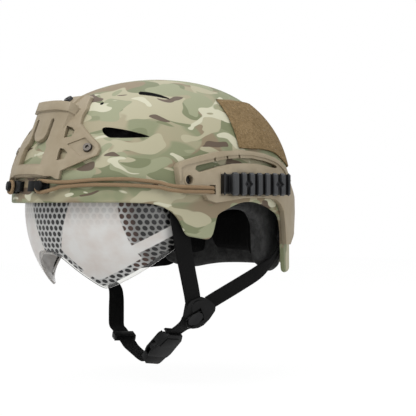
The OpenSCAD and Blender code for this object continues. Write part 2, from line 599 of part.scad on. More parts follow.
front_curve = curve(front_path, 3);
front_w_curve = curve(front_w, 3);
rear_curve = curve(rear_path, 3);
rear_w_curve = curve(rear_w, 3);
module front_strap_left() {
  color(black_c) difference() {
    ribbon(front_curve, front_w_curve, front_strap_width, webbing);
    drill(front_bolt_at, bolt_r + fit);
  }
}
module rear_strap_left() {
  color(black_c) difference() {
    ribbon(rear_curve, rear_w_curve, rear_strap_width, webbing);
    drill(rear_bolt_at, bolt_r + fit);
  }
}

// the right side hangs a little further back and higher
right_shift = [0, 19, 32];
function swing(p, s) = [for (i = [0:len(p) - 1]) let (k = min(1, 1.15 * pow(max(0, (i - 3) / (len(p) - 4)), 1.1)))
  [-p[i][0], p[i][1], p[i][2]] + right_shift * k * s];
module front_strap_right() {
  color(black_c) difference() {
    ribbon(curve(swing(front_path, 1), 3), [for (q = front_w_curve) [-q[0], q[1], q[2]]], front_strap_width, webbing);
    mirror([1, 0, 0]) drill(front_bolt_at, bolt_r + fit);
  }
}
module rear_strap_right() {
  color(black_c) difference() {
    ribbon(curve(swing(rear_path, 1), 3), [for (q = rear_w_curve) [-q[0], q[1], q[2]]], rear_strap_width, webbing);
    mirror([1, 0, 0]) drill(rear_bolt_at, bolt_r + fit);
  }
}

// screw with a flat head that clamps webbing against the inside of the shell
module webbing_bolt(at) {
  n = skin_n(at[0], at[1]);
  face = lie - webbing / 2 - 0.6;
  difference() {
    union() {
      aim(over(at, face), n) cylinder(h = 3.6 - face, r = bolt_r, $fn = 32);
      aim(over(at, face - 2), n) cylinder(h = 2.2, r1 = 5, r2 = 6, $fn = 40);
    }
    aim(over(at, face - 3), n)
      linear_extrude(2.4) polygon([for (k = [0:5]) [1.9 * cos(60 * k), 1.9 * sin(60 * k)]]);
  }
}
module strap_bolts_left() {
  color([0.35, 0.35, 0.37]) {
    webbing_bolt(front_bolt_at);
    webbing_bolt(rear_bolt_at);
  }
}
module strap_bolts_right() {
  mirror([1, 0, 0]) strap_bolts_left();
}

// plastic divider that joins the front, rear and chin straps
divider_in = 84.4;
divider_out = 89.8;
lever_at = [-16, -107.4];
lever_turn = 24;
divider_outline = [[-26, -105.5], [-23.2, -93.5], [-20, -90.5], [-8.5, -87.2], [-2, -89], [6.4, -94.6],
  [8, -98], [7.4, -101], [1, -108.3], [-6, -113.6], [-12, -115.8], [-18, -116.2], [-22.8, -114.6],
  [-25.4, -110.5]];
// end of the short strap in the divider and the chin strap on the other side
short_path = [[87.1, -19.5, -108.5], [85.6, -21.2, -112], [79, -23.4, -115.8], [73.6, -24.4, -118.6],
  [68.4, -25.3, -121.4]];
short_w = [[0, 0.95, -0.3], [0, 0.97, -0.25], [-0.1, 0.99, -0.1], [-0.12, 0.99, -0.1], [-0.127, 0.983, -0.127]];
module divider_body(fp, fw, rp, rw, cp, cw, shift) {
  difference() {
    union() {
      side_prism([for (q = divider_outline) q + [shift[1], shift[2]]], divider_in, divider_out);
      translate([divider_out - 0.1, shift[1] - 11.7, shift[2] - 98.6]) rotate([0, 90, 0])
        cylinder(h = 1.5, r1 = 8.6, r2 = 8, $fn = 48);
    }
    ribbon(fp, fw, front_strap_width + 2 * fit, webbing + 2 * fit);
    ribbon(rp, rw, rear_strap_width + 2 * fit, webbing + 2 * fit);
    ribbon(cp, cw, chin_strap_width + 2 * fit, webbing + 5 * fit);
    // seat of the lever
    translate([divider_out - 2.1, shift[1] + lever_at[0], shift[2] + lever_at[1]]) rotate([lever_turn, 0, 0])
      translate([0, -9.5, -5.2]) cube([6, 19, 12]);
  }
  // pin of the lever
  translate([divider_out - 0.2, shift[1] + lever_at[0], shift[2] + lever_at[1]]) rotate([lever_turn, 0, 0])
    translate([0, -9.6, 3.4]) rotate([-90, 0, 0]) cylinder(h = 19.2, r = 0.6, $fn = 24);
}
module divider_lever() {
  translate([divider_out - 0.2, lever_at[0], lever_at[1]]) rotate([lever_turn, 0, 0]) difference() {
    union() {
      translate([0, 0, 0.2]) scale([1, 1, 0.56]) rotate([0, 90, 0]) cylinder(h = 2, r = 8.6, $fn = 48);
      translate([0, -7, 3.4]) rotate([-90, 0, 0]) cylinder(h = 14, r = 1.35, $fn = 32);
      translate([-1, -6, -3.6]) cube([1.5, 12, 5]);
    }
    translate([0, -12, 3.4]) rotate([-90, 0, 0]) cylinder(h = 24, r = 0.6 + running, $fn = 24);
  }
}
module strap_divider_left() {
  color(black_c) divider_body(front_curve, front_w_curve, rear_curve, rear_w_curve,
    curve(short_path, 3), curve(short_w, 3), [0, 0, 0]);
}
module divider_lever_left() {
  color(dark_c) divider_lever();
}
module divider_lever_right() {
  color(dark_c) mirror([1, 0, 0]) translate(right_shift) divider_lever();
}
module buckle_strap() {
  color(black_c) ribbon(curve(short_path, 3), curve(short_w, 3), chin_strap_width, webbing);
}

// side release buckle: U along it, V across, N out of it
buckle_at = [56, -28.1, -133.2];
buckle_u = unit([-0.7, -0.18, -0.69]);
buckle_v = across([[0, 0, 0], buckle_u], [[-0.1, 0.99, -0.1], [-0.1, 0.99, -0.1]], 0);
buckle_n = cross(buckle_u, buckle_v);
module on_buckle() {
  multmatrix([for (k = [0:2]) [buckle_u[k], buckle_v[k], buckle_n[k], buckle_at[k]]]) children();
}
module buckle_female() {
  color(black_c) difference() {
    on_buckle() difference() {
      union() {
        translate([0, 0, -4.4]) linear_extrude(8.8)
          polygon([[-19, -8.5], [-12, -12.4], [7, -12.8], [11.6, -11.4], [11.6, 11.4], [7, 12.8], [-12, 12.4], [-19, 8.5]]);
        translate([0, 0, 4.3]) linear_extrude(0.9) polygon([[-14, -7], [-3, -8.6], [-3, 8.6], [-14, 7]]);
      }
      // room for the tongue and its two arms, open at the sides
      translate([-7, -9.9, -2.6]) cube([20, 19.8, 5.2]);
      translate([-4, -14, -2.6]) cube([17, 28, 5.2]);
      translate([-17.4, -10.4, -6]) cube([3.4, 20.8, 5.2]);
    }
    ribbon(curve(short_path, 3), curve(short_w, 3), chin_strap_width + 2 * fit, webbing + 2 * fit);
  }
}
keeper_at = [-20, -20.5, -130];
keeper_u = unit([-22, 5.9, 8.6]);
function on_keeper(s) = keeper_at + keeper_u * s;
chin_path = [on_b(15.5, 0, 0), on_b(19, 0, -0.4), [38, -31.6, -148.2], [30, -31, -147], [20, -29.8, -143.6],
  on_keeper(-24.3), on_keeper(-13), on_keeper(13), on_keeper(24), [-51, -9, -113.5], [-61.5, -2, -104], [-69, 3, -95],
  [-74, 5, -87.5], [-79, 4.2, -82.2], [-85.2, 1.8, -79.7], [-87, 2, -76.6]];
keeper_w = [0.22, 0.97, 0];
chin_w = [buckle_v, buckle_v, [-0.05, 0.99, 0], [0, 1, 0], [0.12, 0.99, 0], keeper_w, keeper_w, keeper_w, keeper_w,
  [0.28, 0.96, 0], [0.3, 0.95, 0], [0.2, 0.97, 0], [0.1, 0.98, 0], [0, 0.97, -0.1], [0, 0.95, -0.25], [0, 0.95, -0.3]];
function on_b(u, v, n) = buckle_at + buckle_u * u + buckle_v * v + buckle_n * n;
chin_curve = curve(chin_path, 3);
chin_w_curve = curve(chin_w, 3);
module buckle_male() {
  color(black_c) difference() {
    on_buckle() {
      union() {
        translate([0, 0, -4.2]) linear_extrude(8.4)
          polygon([[11.9, -11], [20, -9.5], [21.5, -7.5], [21.5, 7.5], [20, 9.5], [11.9, 11]]);
        translate([-5.6, -1.8, -2]) cube([18, 3.6, 4]);
        for (s = [-1, 1]) mirror([0, s > 0 ? 0 : 1, 0]) translate([0, 0, -2.2]) linear_extrude(4.4)
          polygon([[12, 5.4], [-1, 6.6], [-3.6, 6.8], [-3.6, 8.8], [0.5, 12.4], [4.5, 12.4], [4.5, 9], [12, 8.4]]);
      }
    }
    ribbon(chin_curve, chin_w_curve, chin_strap_width - 3, webbing + 2 * fit);
  }
}
module chin_strap() {
  color(black_c) ribbon(chin_curve, chin_w_curve, chin_strap_width - 3.6, webbing);
}
module strap_divider_right() {
  color(black_c) mirror([1, 0, 0]) divider_body(
    [for (q = curve(swing(front_path, 1), 3)) [-q[0], q[1], q[2]]], front_w_curve,
    [for (q = curve(swing(rear_path, 1), 3)) [-q[0], q[1], q[2]]], rear_w_curve,
    [for (q = chin_curve) [-q[0], q[1], q[2]]], [for (q = chin_w_curve) [-q[0], q[1], q[2]]], right_shift);
}

// ribbed keeper that slides on the chin strap
keeper_v = across([[0, 0, 0], keeper_u], [keeper_w, keeper_w], 0);
keeper_n = cross(keeper_u, keeper_v);
module chin_slider() {
  color(black_c) multmatrix([for (k = [0:2]) [keeper_u[k], keeper_v[k], keeper_n[k], keeper_at[k]]]) difference() {
    union() {
      translate([-5, -10.6, -2.6]) cube([10, 21.2, 5.2]);
      for (s = [-3.4, 0, 3.4]) translate([s - 0.7, -10.6, 2.5]) cube([1.4, 21.2, 0.9]);
    }
    translate([-6, -8.2, -1.5]) cube([12, 16.4, 3]);
  }
}

shell();
front_shroud();
shroud_screw_left();
shroud_screw_right();
shroud_top_screw();
lanyard_hook_left();
lanyard_hook_right();
bungee_left();
bungee_right();
side_rail_left();
side_rail_right();
rail_adapter_left();
rail_adapter_right();
adapter_screws_left();
adapter_screws_right();
rear_loop_patch();
visor_lens();
visor_pivot_left();
visor_pivot_right();
visor_screw_left();
visor_screw_right();
liner();
crown_pad();
front_pad();
rear_pad();
side_pad_left();
side_pad_right();
nape_pad_left();
nape_pad_right();
front_strap_left();
front_strap_right();
rear_strap_left();
rear_strap_right();
strap_bolts_left();
strap_bolts_right();
strap_divider_left();
strap_divider_right();
divider_lever_left();
divider_lever_right();
buckle_strap();
buckle_female();
buckle_male();
chin_strap();
chin_slider();
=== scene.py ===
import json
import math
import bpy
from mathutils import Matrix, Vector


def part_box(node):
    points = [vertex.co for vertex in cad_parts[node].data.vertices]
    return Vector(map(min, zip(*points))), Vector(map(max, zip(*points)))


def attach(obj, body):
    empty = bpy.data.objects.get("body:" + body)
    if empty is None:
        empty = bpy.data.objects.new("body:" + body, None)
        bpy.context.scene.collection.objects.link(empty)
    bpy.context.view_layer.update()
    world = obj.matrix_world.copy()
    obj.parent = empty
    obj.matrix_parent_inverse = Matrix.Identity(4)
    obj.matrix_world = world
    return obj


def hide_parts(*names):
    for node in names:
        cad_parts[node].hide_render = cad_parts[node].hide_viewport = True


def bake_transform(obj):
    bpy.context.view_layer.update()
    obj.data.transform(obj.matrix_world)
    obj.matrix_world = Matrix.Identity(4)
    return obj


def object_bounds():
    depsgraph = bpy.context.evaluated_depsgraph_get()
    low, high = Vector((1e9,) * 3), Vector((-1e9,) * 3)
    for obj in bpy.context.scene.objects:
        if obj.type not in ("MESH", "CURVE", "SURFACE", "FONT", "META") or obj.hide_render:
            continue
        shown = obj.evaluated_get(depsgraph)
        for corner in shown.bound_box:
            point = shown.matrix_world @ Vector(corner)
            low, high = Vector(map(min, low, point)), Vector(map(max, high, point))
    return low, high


bl_info = {
    "name": "Rail Helmet With Pull-Down Visor",
    "version": (1, 0, 0),
    "blender": (4, 5, 0),
    "location": "View3D > Sidebar > Helmet",
    "description": "Dresses the helmet's fixed parts with smooth shells, webbing, pads and painted finishes",
    "category": "Add Mesh",
}

import bmesh
import bpy
import numpy as np

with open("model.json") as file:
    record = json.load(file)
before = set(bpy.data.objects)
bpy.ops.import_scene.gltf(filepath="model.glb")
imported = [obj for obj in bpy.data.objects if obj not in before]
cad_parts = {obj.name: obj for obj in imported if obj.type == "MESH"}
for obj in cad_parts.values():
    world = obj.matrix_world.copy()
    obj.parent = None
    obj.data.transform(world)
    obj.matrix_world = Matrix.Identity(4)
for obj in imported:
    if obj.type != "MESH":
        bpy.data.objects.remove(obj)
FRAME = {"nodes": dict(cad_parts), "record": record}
CAD_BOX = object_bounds()
MM = 0.001
LOW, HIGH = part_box("shell")


# ---- numbers of the shape, in mm
# The plan is a superellipse, and so is the profile; the crown leans back as it rises.
HALF_WIDTH = (HIGH.x - LOW.x) / 2 / MM
HALF_LENGTH = -LOW.y / MM
HEIGHT = HIGH.z / MM
WALL = 3.5
PLAN_POWER = 2.15
PROFILE_POWER = 2.2
CROWN_LEAN = 10.0

# Rim of the left half: angle from +X in degrees, height.
SHELL_RIM = np.array([
    [-90, 0], [-83, 0], [-76, 0], [-69, 0], [-62, 0], [-55, 0], [-48, 0], [-42, -0.3], [-37, -0.9],
    [-34, -1.7], [-31, -3.6], [-28.4, -6.2], [-26, -9.6], [-24.2, -13.6], [-22.8, -18], [-21.6, -23],
    [-20.6, -27.2], [-19.4, -29.6], [-17.4, -30.6], [-13, -32], [-9.2, -33.2], [-7.2, -32.4],
    [-6, -29.5], [-5, -23], [-4.2, -16.5], [-3.2, -12], [-1.4, -9.2], [2.6, -6], [7.4, -2.2],
    [12, 0.4], [17.3, 1.1], [22, 0.2], [27, -2.2], [32, -5], [36, -8.2], [39.5, -10.5], [42, -14.5],
    [43.8, -20], [44.8, -28], [45.5, -42], [46.2, -58], [47, -66], [50, -67], [54, -66.5],
    [58, -64.5], [63, -62], [69, -60.1], [76, -59.6], [83, -59.7], [90, -60]])
LINER_RIM = np.array([
    [-90, 7], [-82, 7], [-74, 7], [-66, 7], [-58, 6.6], [-52, 6], [-46, 4.2], [-40, 1], [-34, -7],
    [-30, -15], [-26, -21], [-20, -25], [-13, -26], [-7, -25], [-3, -21], [0, -14], [4, -9.5],
    [10, -7], [13.5, -5.8], [20, -4], [26.5, -4.6], [31, -6.4], [35.6, -10.9], [39.3, -18.6],
    [40.4, -26.6], [40.8, -46], [42, -55], [45, -59], [50, -62.5], [54, -64], [58, -64], [63, -61.7],
    [69, -59.8], [76, -59.3], [83, -59.4], [90, -59.7]])
LINER = dict(a=91.0, front=112.0, back=136.2, h=114.6)
LINER_WALL = 9.0

VISOR_PIVOT = (-16.0, -6.0)
VISOR_RADIUS = 110.0
VISOR_HALF_WIDTH = 97.0
VISOR_WALL = 2.0
VISOR_TOP = 14.0
VISOR_POWER = 2.2
FILM_SHIFT = 20
HUB_OUT = 0.8
HUB_IN = 3.2
HUB_BORE = 2.48
HUB_RADIUS = 19.0
HUB_EDGE = 0.6
LENS_LOW = np.array([
    [0, 22.5], [5, 23], [8, 24], [10, 25.2], [12.5, 27.8], [15, 30.8], [17.5, 34.2], [20, 37.8],
    [22, 41], [24, 44.8], [25.5, 46.8], [28, 47.8], [31, 48], [35, 48.1], [40, 48.6], [45, 49.2],
    [50, 50], [55, 51.2], [60, 52.6], [65, 55], [70, 58.6], [75, 63], [79, 64], [83, 60]])

# Vents: side and crown outlines, and the angle, height and radius of the breather holes.
SIDE_VENT = np.array([
    [-94.5, 56.8], [-96.8, 59.5], [-97.2, 63.5], [-95.6, 66.4], [-92, 67], [-80, 64], [-64.5, 58.8],
    [-65, 57.6], [-80, 56.8]])
CROWN_VENT = np.array([[52, -51], [48, -50], [46.8, -46], [66, -29], [70, -28.6]])
BREATHER = (-67.8, 90, 1.8)
# Height in mm above which the shell's inner faces and vent walls take black plastic as painted shade.
PAINTED_SHADE_FROM = 20
PATCH_TOP = 96.0
PATCH_LOW = np.array([
    [12, 50], [17, 50], [22, 50], [27, 50], [32, 49.6], [36, 48.8], [40, 47.5], [45, 44],
    [50, 39.6], [56, 36.6], [62, 35.4], [69, 35], [76, 35], [83, 35], [90, 35]])
CROWN_PAD = dict(radius=34, swell=4, low=86.3, thick=10.5)

# Bore of the rails and outward direction of the adapters, in metres, and the scale of moulded grain.
BORE_AT = (-0.0397, 0.0194)
ADAPTER_FACE = (0.9957, 0.0924)
GRAIN = 1500.0

# Camera and stage, in mm.
SENSOR = 36.0
FOCAL = 124.8
AIM = np.array([32.1, 42.6, -5.8])
DEEPEST = -151.0
FLOOR_GAP = 18.0


# ---- curves and surfaces
def unit(v):
    """Each vector divided by its length."""
    return v / np.maximum(np.linalg.norm(v, axis=-1, keepdims=True), 1e-12)


def spline(points, m):
    """Catmull-Rom curve: from p1 to p2 it is the cubic whose slopes are (p2-p0)/2 and (p3-p1)/2."""
    p = np.asarray(points, float)
    p = np.vstack([2 * p[0] - p[1], p, 2 * p[-1] - p[-2]])
    t = (np.arange(m) / m)[None, :, None]
    a, b, c, d = (p[i:len(p) - 3 + i][:, None, :] for i in range(4))
    q = b + 0.5 * t * (c - a + t * (2 * a - 5 * b + 4 * c - d + t * (3 * (b - c) + d - a)))
    return np.vstack([q.reshape(-1, p.shape[1]), p[-2]])


def chaikin(points, times):
    """Corner cutting: each edge is replaced by its quarter and three-quarter points, and the ends stay."""
    p = np.asarray(points, float)
    for _ in range(times):
        cut = np.stack([0.75 * p[:-1] + 0.25 * p[1:], 0.25 * p[:-1] + 0.75 * p[1:]], 1)
        p = np.vstack([p[:1], cut.reshape(-1, p.shape[1])[1:-1], p[-1:]])
    return p


def lean(z):
    """Backward shift of the plan's centre: lean times (z / height) to the power 1.6."""
    return CROWN_LEAN * (np.clip(z, 0, None) / HEIGHT) ** 1.6


def dome(phi, z, a=HALF_WIDTH, front=HALF_LENGTH, back=HALF_LENGTH, h=HEIGHT):
    """Superellipse at angle phi, shrunk by (1 - (z/h)^p)^(1/p) at height z and moved back by the lean."""
    phi, z = np.broadcast_arrays(np.radians(phi), np.asarray(z, float))
    c, s = np.cos(phi), np.sin(phi)
    b = np.where(s < 0, front, back)
    r = (np.abs(c / a) ** PLAN_POWER + np.abs(s / b) ** PLAN_POWER) ** (-1 / PLAN_POWER)
    k = np.clip(1 - np.clip(z / h, 0, 1) ** PROFILE_POWER, 1e-9, 1) ** (1 / PROFILE_POWER)
    return np.stack([r * k * c, r * k * s + lean(z), z], -1)


def skin(phi, z, off=0.0):
    """The shell's outer surface grown by an offset on every half axis."""
    return dome(phi, z, HALF_WIDTH + off, HALF_LENGTH + off, HALF_LENGTH + off, HEIGHT + off)


def in_liner(phi, z, off):
    """The liner's inner surface, moved inwards by an offset."""
    g = LINER_WALL + 0.7 + off
    return dome(phi, z, LINER["a"] - g, LINER["front"] - g, LINER["back"] - g, LINER["h"] - g)


def along(line):
    """Distance along a line of points, from its start."""
    return np.concatenate([[0], np.cumsum(np.linalg.norm(np.diff(line, axis=0), axis=1))])


# ---- meshes
def mesh_from(name, grids, uvs=None, weld=True):
    """One mesh from grids of points in mm; grids that share an edge are welded, and faces turn outwards."""
    points, quads, texels, start = [], [], [], 0
    for k, grid in enumerate(grids):
        rows, columns = grid.shape[:2]
        points.append(grid.reshape(-1, 3))
        i = start + np.arange(rows * columns).reshape(rows, columns)
        quads.append(np.stack([i[:-1, :-1], i[1:, :-1], i[1:, 1:], i[:-1, 1:]], -1).reshape(-1, 4))
        uv = uvs[k] if uvs else np.zeros((rows, columns, 2))
        texels.append(uv.reshape(-1, 2))
        start += rows * columns
    points, quads, texels = np.vstack(points) * MM, np.vstack(quads), np.vstack(texels)
    mesh = bpy.data.meshes.new(name)
    mesh.vertices.add(len(points))
    mesh.vertices.foreach_set("co", points.astype(np.float32).ravel())
    mesh.loops.add(quads.size)
    mesh.loops.foreach_set("vertex_index", quads.astype(np.int32).ravel())
    mesh.polygons.add(len(quads))
    mesh.polygons.foreach_set("loop_start", np.arange(0, quads.size, 4, dtype=np.int32))
    if uvs:
        layer = mesh.uv_layers.new(name="UVMap")
        layer.data.foreach_set("uv", texels[quads.ravel()].astype(np.float32).ravel())
    mesh.update(calc_edges=True)
    piece = bpy.data.objects.new(name, mesh)
    bpy.context.scene.collection.objects.link(piece)
    if weld:
        close(piece)
    return piece


def close(piece, distance=2e-6, turn=True):
    """Welds doubled points, drops collapsed faces and turns the rest outwards."""
    bm = bmesh.new()
    bm.from_mesh(piece.data)
    bmesh.ops.remove_doubles(bm, verts=bm.verts, dist=distance)
    bmesh.ops.dissolve_degenerate(bm, edges=bm.edges, dist=distance / 4)
    if turn:
        bmesh.ops.recalc_face_normals(bm, faces=bm.faces)
    bm.to_mesh(piece.data)
    bm.free()


def shade(piece, degrees=32):
    """Smooth shading, kept sharp where faces meet at more than an angle."""
    piece.data.shade_smooth()
    piece.data.set_sharp_from_angle(angle=math.radians(degrees))


def bake_modifiers(piece):
    """The modified mesh takes the place of the plain one."""
    bpy.context.view_layer.update()
    result = bpy.data.meshes.new_from_object(piece.evaluated_get(bpy.context.evaluated_depsgraph_get()))
    piece.modifiers.clear()
    piece.data = result


def wall_grids(outer, inner, swell=0.35):
    """Closed slab between two grids: both faces, and four edges that bulge by a share of the thickness."""
    def edge(a, b, a_next):
        out = unit(a - a_next) * np.linalg.norm(a - b, axis=-1, keepdims=True) * swell
        s = np.linspace(0, 1, 5)[:, None, None]
        return a + (b - a) * s + out * np.sin(np.pi * s)
    return [
        outer, inner,
        edge(outer[0], inner[0], outer[1]), edge(outer[-1], inner[-1], outer[-2]),
        edge(outer[:, 0], inner[:, 0], outer[:, 1]), edge(outer[:, -1], inner[:, -1], outer[:, -2]),
    ]


def bowl_grids(rim, outer, inner, rows=44):
    """Hollow dome: columns run from the rim to the crown, and the rim bulges down by 0.3 of the wall."""
    half = chaikin(rim, 2)
    both = np.vstack([half, (np.array([180, 0]) + half[::-1] * np.array([-1, 1]))[1:]])
    phi, low = both[:, 0], both[:, 1]

    def face(axes):
        h = axes["h"]
        steps = np.linspace(0, 1, rows)[None, :]
        lift = np.clip(low, 0, None) / h
        turn = np.arcsin(lift)[:, None]
        up = h * np.sin(turn + (np.pi / 2 - turn) * np.clip((steps - 0.2) / 0.8, 0, 1))
        down = np.clip(low, None, 0)[:, None] * np.clip(1 - steps / 0.2, 0, 1)
        z = up * (steps >= 0.2) + np.where(steps < 0.2, down + np.clip(low, 0, None)[:, None], 0)
        return dome(np.broadcast_to(phi[:, None], z.shape), z, axes["a"], axes["front"], axes["back"], h)

    a, b = face(outer), face(inner)
    s = np.linspace(0, 1, 7)[None, :, None]
    drop = np.array([0, 0, -1.0]) * np.linalg.norm(a[:, :1] - b[:, :1], axis=-1, keepdims=True) * 0.3
    return [a, b, a[:, :1] + (b[:, :1] - a[:, :1]) * s + drop * np.sin(np.pi * s)]


def carried(name, line, body, around):
    """Piece from rings carried along a line, with a fan at each end and its UV in mm."""
    caps = [np.stack([body[k], np.broadcast_to(line[k][None], body[k].shape)]) for k in (0, -1)]
    uv = np.stack(np.broadcast_arrays(along(line)[:, None], around[None]), -1)
    none = np.zeros(caps[0].shape[:2] + (2,))
    piece = mesh_from(name, [body] + caps, [uv, none, none])
    shade(piece, 60)
    return piece


def ribbon(name, line, across, width, thick, m=14):
    """Band of webbing: a rounded section carried along a spline, with its own width direction."""
    c, w = spline(line, m), spline(across, m)
    t = unit(np.gradient(c, axis=0))
    w = unit(w - t * (w * t).sum(-1, keepdims=True))
    n = np.cross(t, w)
    r, half = thick / 2, width / 2 - thick / 2
    turn = np.linspace(0, np.pi, 5)
    flat = np.linspace(-half, half, 9)
    x = np.concatenate([flat, half + r * np.sin(turn), flat[::-1], -half - r * np.sin(turn)])
    y = np.concatenate([np.full(9, r), r * np.cos(turn), np.full(9, -r), -r * np.cos(turn)])
    x, y = np.append(x, x[0]), np.append(y, y[0])
    body = c[:, None] + w[:, None] * x[None, :, None] + n[:, None] * y[None, :, None]
    return carried(name, c, body, along(np.stack([x, y], -1)))


def tube(name, line, radius, m=6, sides=16):
    """Round cord: a circle carried along a spline, each ring level across."""
    c = spline(line, m)
    t = unit(np.gradient(c, axis=0))
    n = unit(np.cross(t, np.array([0.0, 0.0, 1.0])))
    b = np.cross(n, t)
    turn = np.linspace(0, 2 * np.pi, sides + 1)
    ring = np.cos(turn)[None, :, None] * n[:, None] + np.sin(turn)[None, :, None] * b[:, None]
    return carried(name, c, c[:, None] + radius * ring, turn * radius)


def prism(outline, start, end, axis):
    """Grids of a prism: an outline in the two other axes, drawn along one axis from start to end."""
    ring = np.vstack([outline, outline[:1]])
    others = [k for k in range(3) if k != axis]

    def at(level):
        p = np.zeros((len(ring), 3))
        p[:, others[0]], p[:, others[1]], p[:, axis] = ring[:, 0], ring[:, 1], level
        return p

    a, b = at(start), at(end)
    middle = [np.broadcast_to(q[:-1].mean(0), q.shape) for q in (a, b)]
    return [np.stack([a, b]), np.stack([a, middle[0]]), np.stack([b, middle[1]])]


def rounded(outline, times=2):
    """Closed outline with its corners cut."""
    p = np.vstack([outline, outline[:1]]).astype(float)
    start = (p[0] + p[1]) / 2
    return chaikin(np.vstack([start, p[1:], start]), times)[:-1]


# ---- colours and nodes
def srgb(text):
    """Linear colour from a hex colour as seen on a screen."""
    c = np.array([int(text[k:k + 2], 16) for k in (1, 3, 5)]) / 255
    c = np.where(c <= 0.04045, c / 12.92, ((c + 0.055) / 1.055) ** 2.4)
    return (*[float(v) for v in c], 1.0)


class Graph:
    """A node tree; each short call adds a node and gives back its result."""

    def __init__(self, tree):
        self.tree = tree
        tree.nodes.clear()

    def add(self, kind, sockets=None, **values):
        """A node; values are its properties, and sockets are numbers, colours or links by name or index."""
        node = self.tree.nodes.new("ShaderNode" + kind)
        for key, value in values.items():
            setattr(node, key, value)
        for key, value in (sockets or {}).items():
            if isinstance(value, bpy.types.NodeSocket):
                self.tree.links.new(value, node.inputs[key])
            else:
                node.inputs[key].default_value = value
        return node

    def calc(self, operation, *values):
        return self.add("Math", dict(enumerate(values)), operation=operation).outputs[0]

    def plus(self, a, b):
        return self.calc("ADD", a, b)

    def less(self, a, b):
        return self.calc("SUBTRACT", a, b)

    def times(self, a, b):
        return self.calc("MULTIPLY", a, b)

    def vector(self, operation, *values, out=0):
        return self.add("VectorMath", dict(enumerate(values)), operation=operation).outputs[out]

    def mix(self, share, a, b):
        """Colour between a and b by a share."""
        return self.add("Mix", {0: share, 6: a, 7: b}, data_type="RGBA").outputs[2]

    def step(self, value, low, high):
        """0 below low, 1 above high and straight between them."""
        return self.add("MapRange", {0: value, 1: low, 2: high, 3: 0.0, 4: 1.0}).outputs[0]

    def fall(self, value, low, high):
        """1 below low, 0 above high and straight between them."""
        return self.less(1.0, self.step(value, low, high))

    def noise(self, at, scale, detail=2.0, rough=0.5, distort=0.0):
        """Noise value at a place."""
        sockets = {"Vector": at, "Scale": scale, "Detail": detail, "Roughness": rough, "Distortion": distort}
        return self.add("TexNoise", sockets).outputs["Fac"]

    def moved(self, at, shift, turn, tall):
        """A place that is stretched in height, turned and shifted."""
        sockets = {"Vector": at, "Location": shift, "Rotation": turn, "Scale": (1.0, 1.0, tall)}
        return self.add("Mapping", sockets).outputs[0]

    def here(self):
        """The place on the piece, in metres of the helmet's own frame."""
        return self.add("TexCoord").outputs["Object"]

    def flat(self):
        """The place on the surface from its UV map, in mm."""
        return self.add("TexCoord").outputs["UV"]

    def split(self, at):
        """The three numbers of a place."""
        return self.add("SeparateXYZ", {0: at}).outputs

    def seen(self):
        """1 for a ray that comes from the camera, straight, mirrored or through a clear piece."""
        rays = self.add("LightPath").outputs
        bent = self.calc("MAXIMUM", rays["Is Glossy Ray"], rays["Is Transmission Ray"])
        return self.calc("MAXIMUM", rays["Is Camera Ray"], bent)


class Finish(Graph):
    """Material with one principled shader; further sockets are set by their names with underscores."""

    def __init__(self, name, colour, rough, shine=0.5, **sockets):
        self.material = bpy.data.materials.new(name)
        self.material.use_nodes = True
        super().__init__(self.material.node_tree)
        basics = {"Base Color": colour, "Roughness": rough, "Specular IOR Level": shine}
        self.shader = self.add("BsdfPrincipled", basics)
        for key, value in sockets.items():
            self.shader.inputs[key.replace("_", " ")].default_value = value
        self.output = self.add("OutputMaterial", {"Surface": self.shader.outputs[0]})
        self.material.diffuse_color = colour

    def feed(self, socket, value):
        self.tree.links.new(value, self.shader.inputs[socket])

    def bump(self, height, strength, distance):
        """Normal from a height."""
        sockets = {"Height": height, "Strength": strength, "Distance": distance}
        self.feed("Normal", self.add("Bump", sockets).outputs[0])

    def surface(self, node):
        """Another shader takes the place of the principled one."""
        self.tree.links.new(node.outputs[0], self.output.inputs["Surface"])


def moulded_plastic(name, colour, pale, rough, shine):
    """Moulded plastic: fine spark-eroded grain in the bump, cloudy colour and slightly uneven gloss."""
    g = Finish(name, colour, rough, shine)
    at = g.here()
    g.feed("Base Color", g.mix(g.step(g.noise(at, 28.0, 3.0, 0.6), 0.3, 0.75), colour, pale))
    g.feed("Roughness", g.plus(g.times(g.noise(at, 60.0, 4.0), 0.22), rough - 0.11))
    g.bump(g.noise(at, GRAIN, 2.0, 0.7), 0.06, 0.0004)
    return g.material


def ribbed_plastic(name, colour, pale, shade):
    """The adapters' plastic, shaded in the cross slots by the depth below the ribs' tops."""
    g = Finish(name, colour, 0.42, 0.3)
    at = g.here()
    x, y, _ = g.split(at)
    out = g.plus(g.times(g.calc("ABSOLUTE", x), ADAPTER_FACE[0]), g.times(y, ADAPTER_FACE[1]))
    cloud = g.step(g.noise(at, 28.0, 3.0, 0.6), 0.3, 0.75)
    g.feed("Base Color", g.mix(g.step(out, 0.1215, 0.1228), shade, g.mix(cloud, colour, pale)))
    g.bump(g.noise(at, GRAIN, 2.0, 0.7), 0.06, 0.0004)
    return g.material


def metal(name, colour, rough):
    """Plated steel with fine turning marks and a little dullness."""
    g = Finish(name, colour, rough, Metallic=1.0)
    marks = g.noise(g.vector("MULTIPLY", g.here(), (1.0, 1.0, 6.0)), 900.0, 3.0, 0.7)
    g.feed("Roughness", g.plus(g.times(marks, 0.3), rough - 0.15))
    g.bump(marks, 0.08, 0.0002)
    return g.material


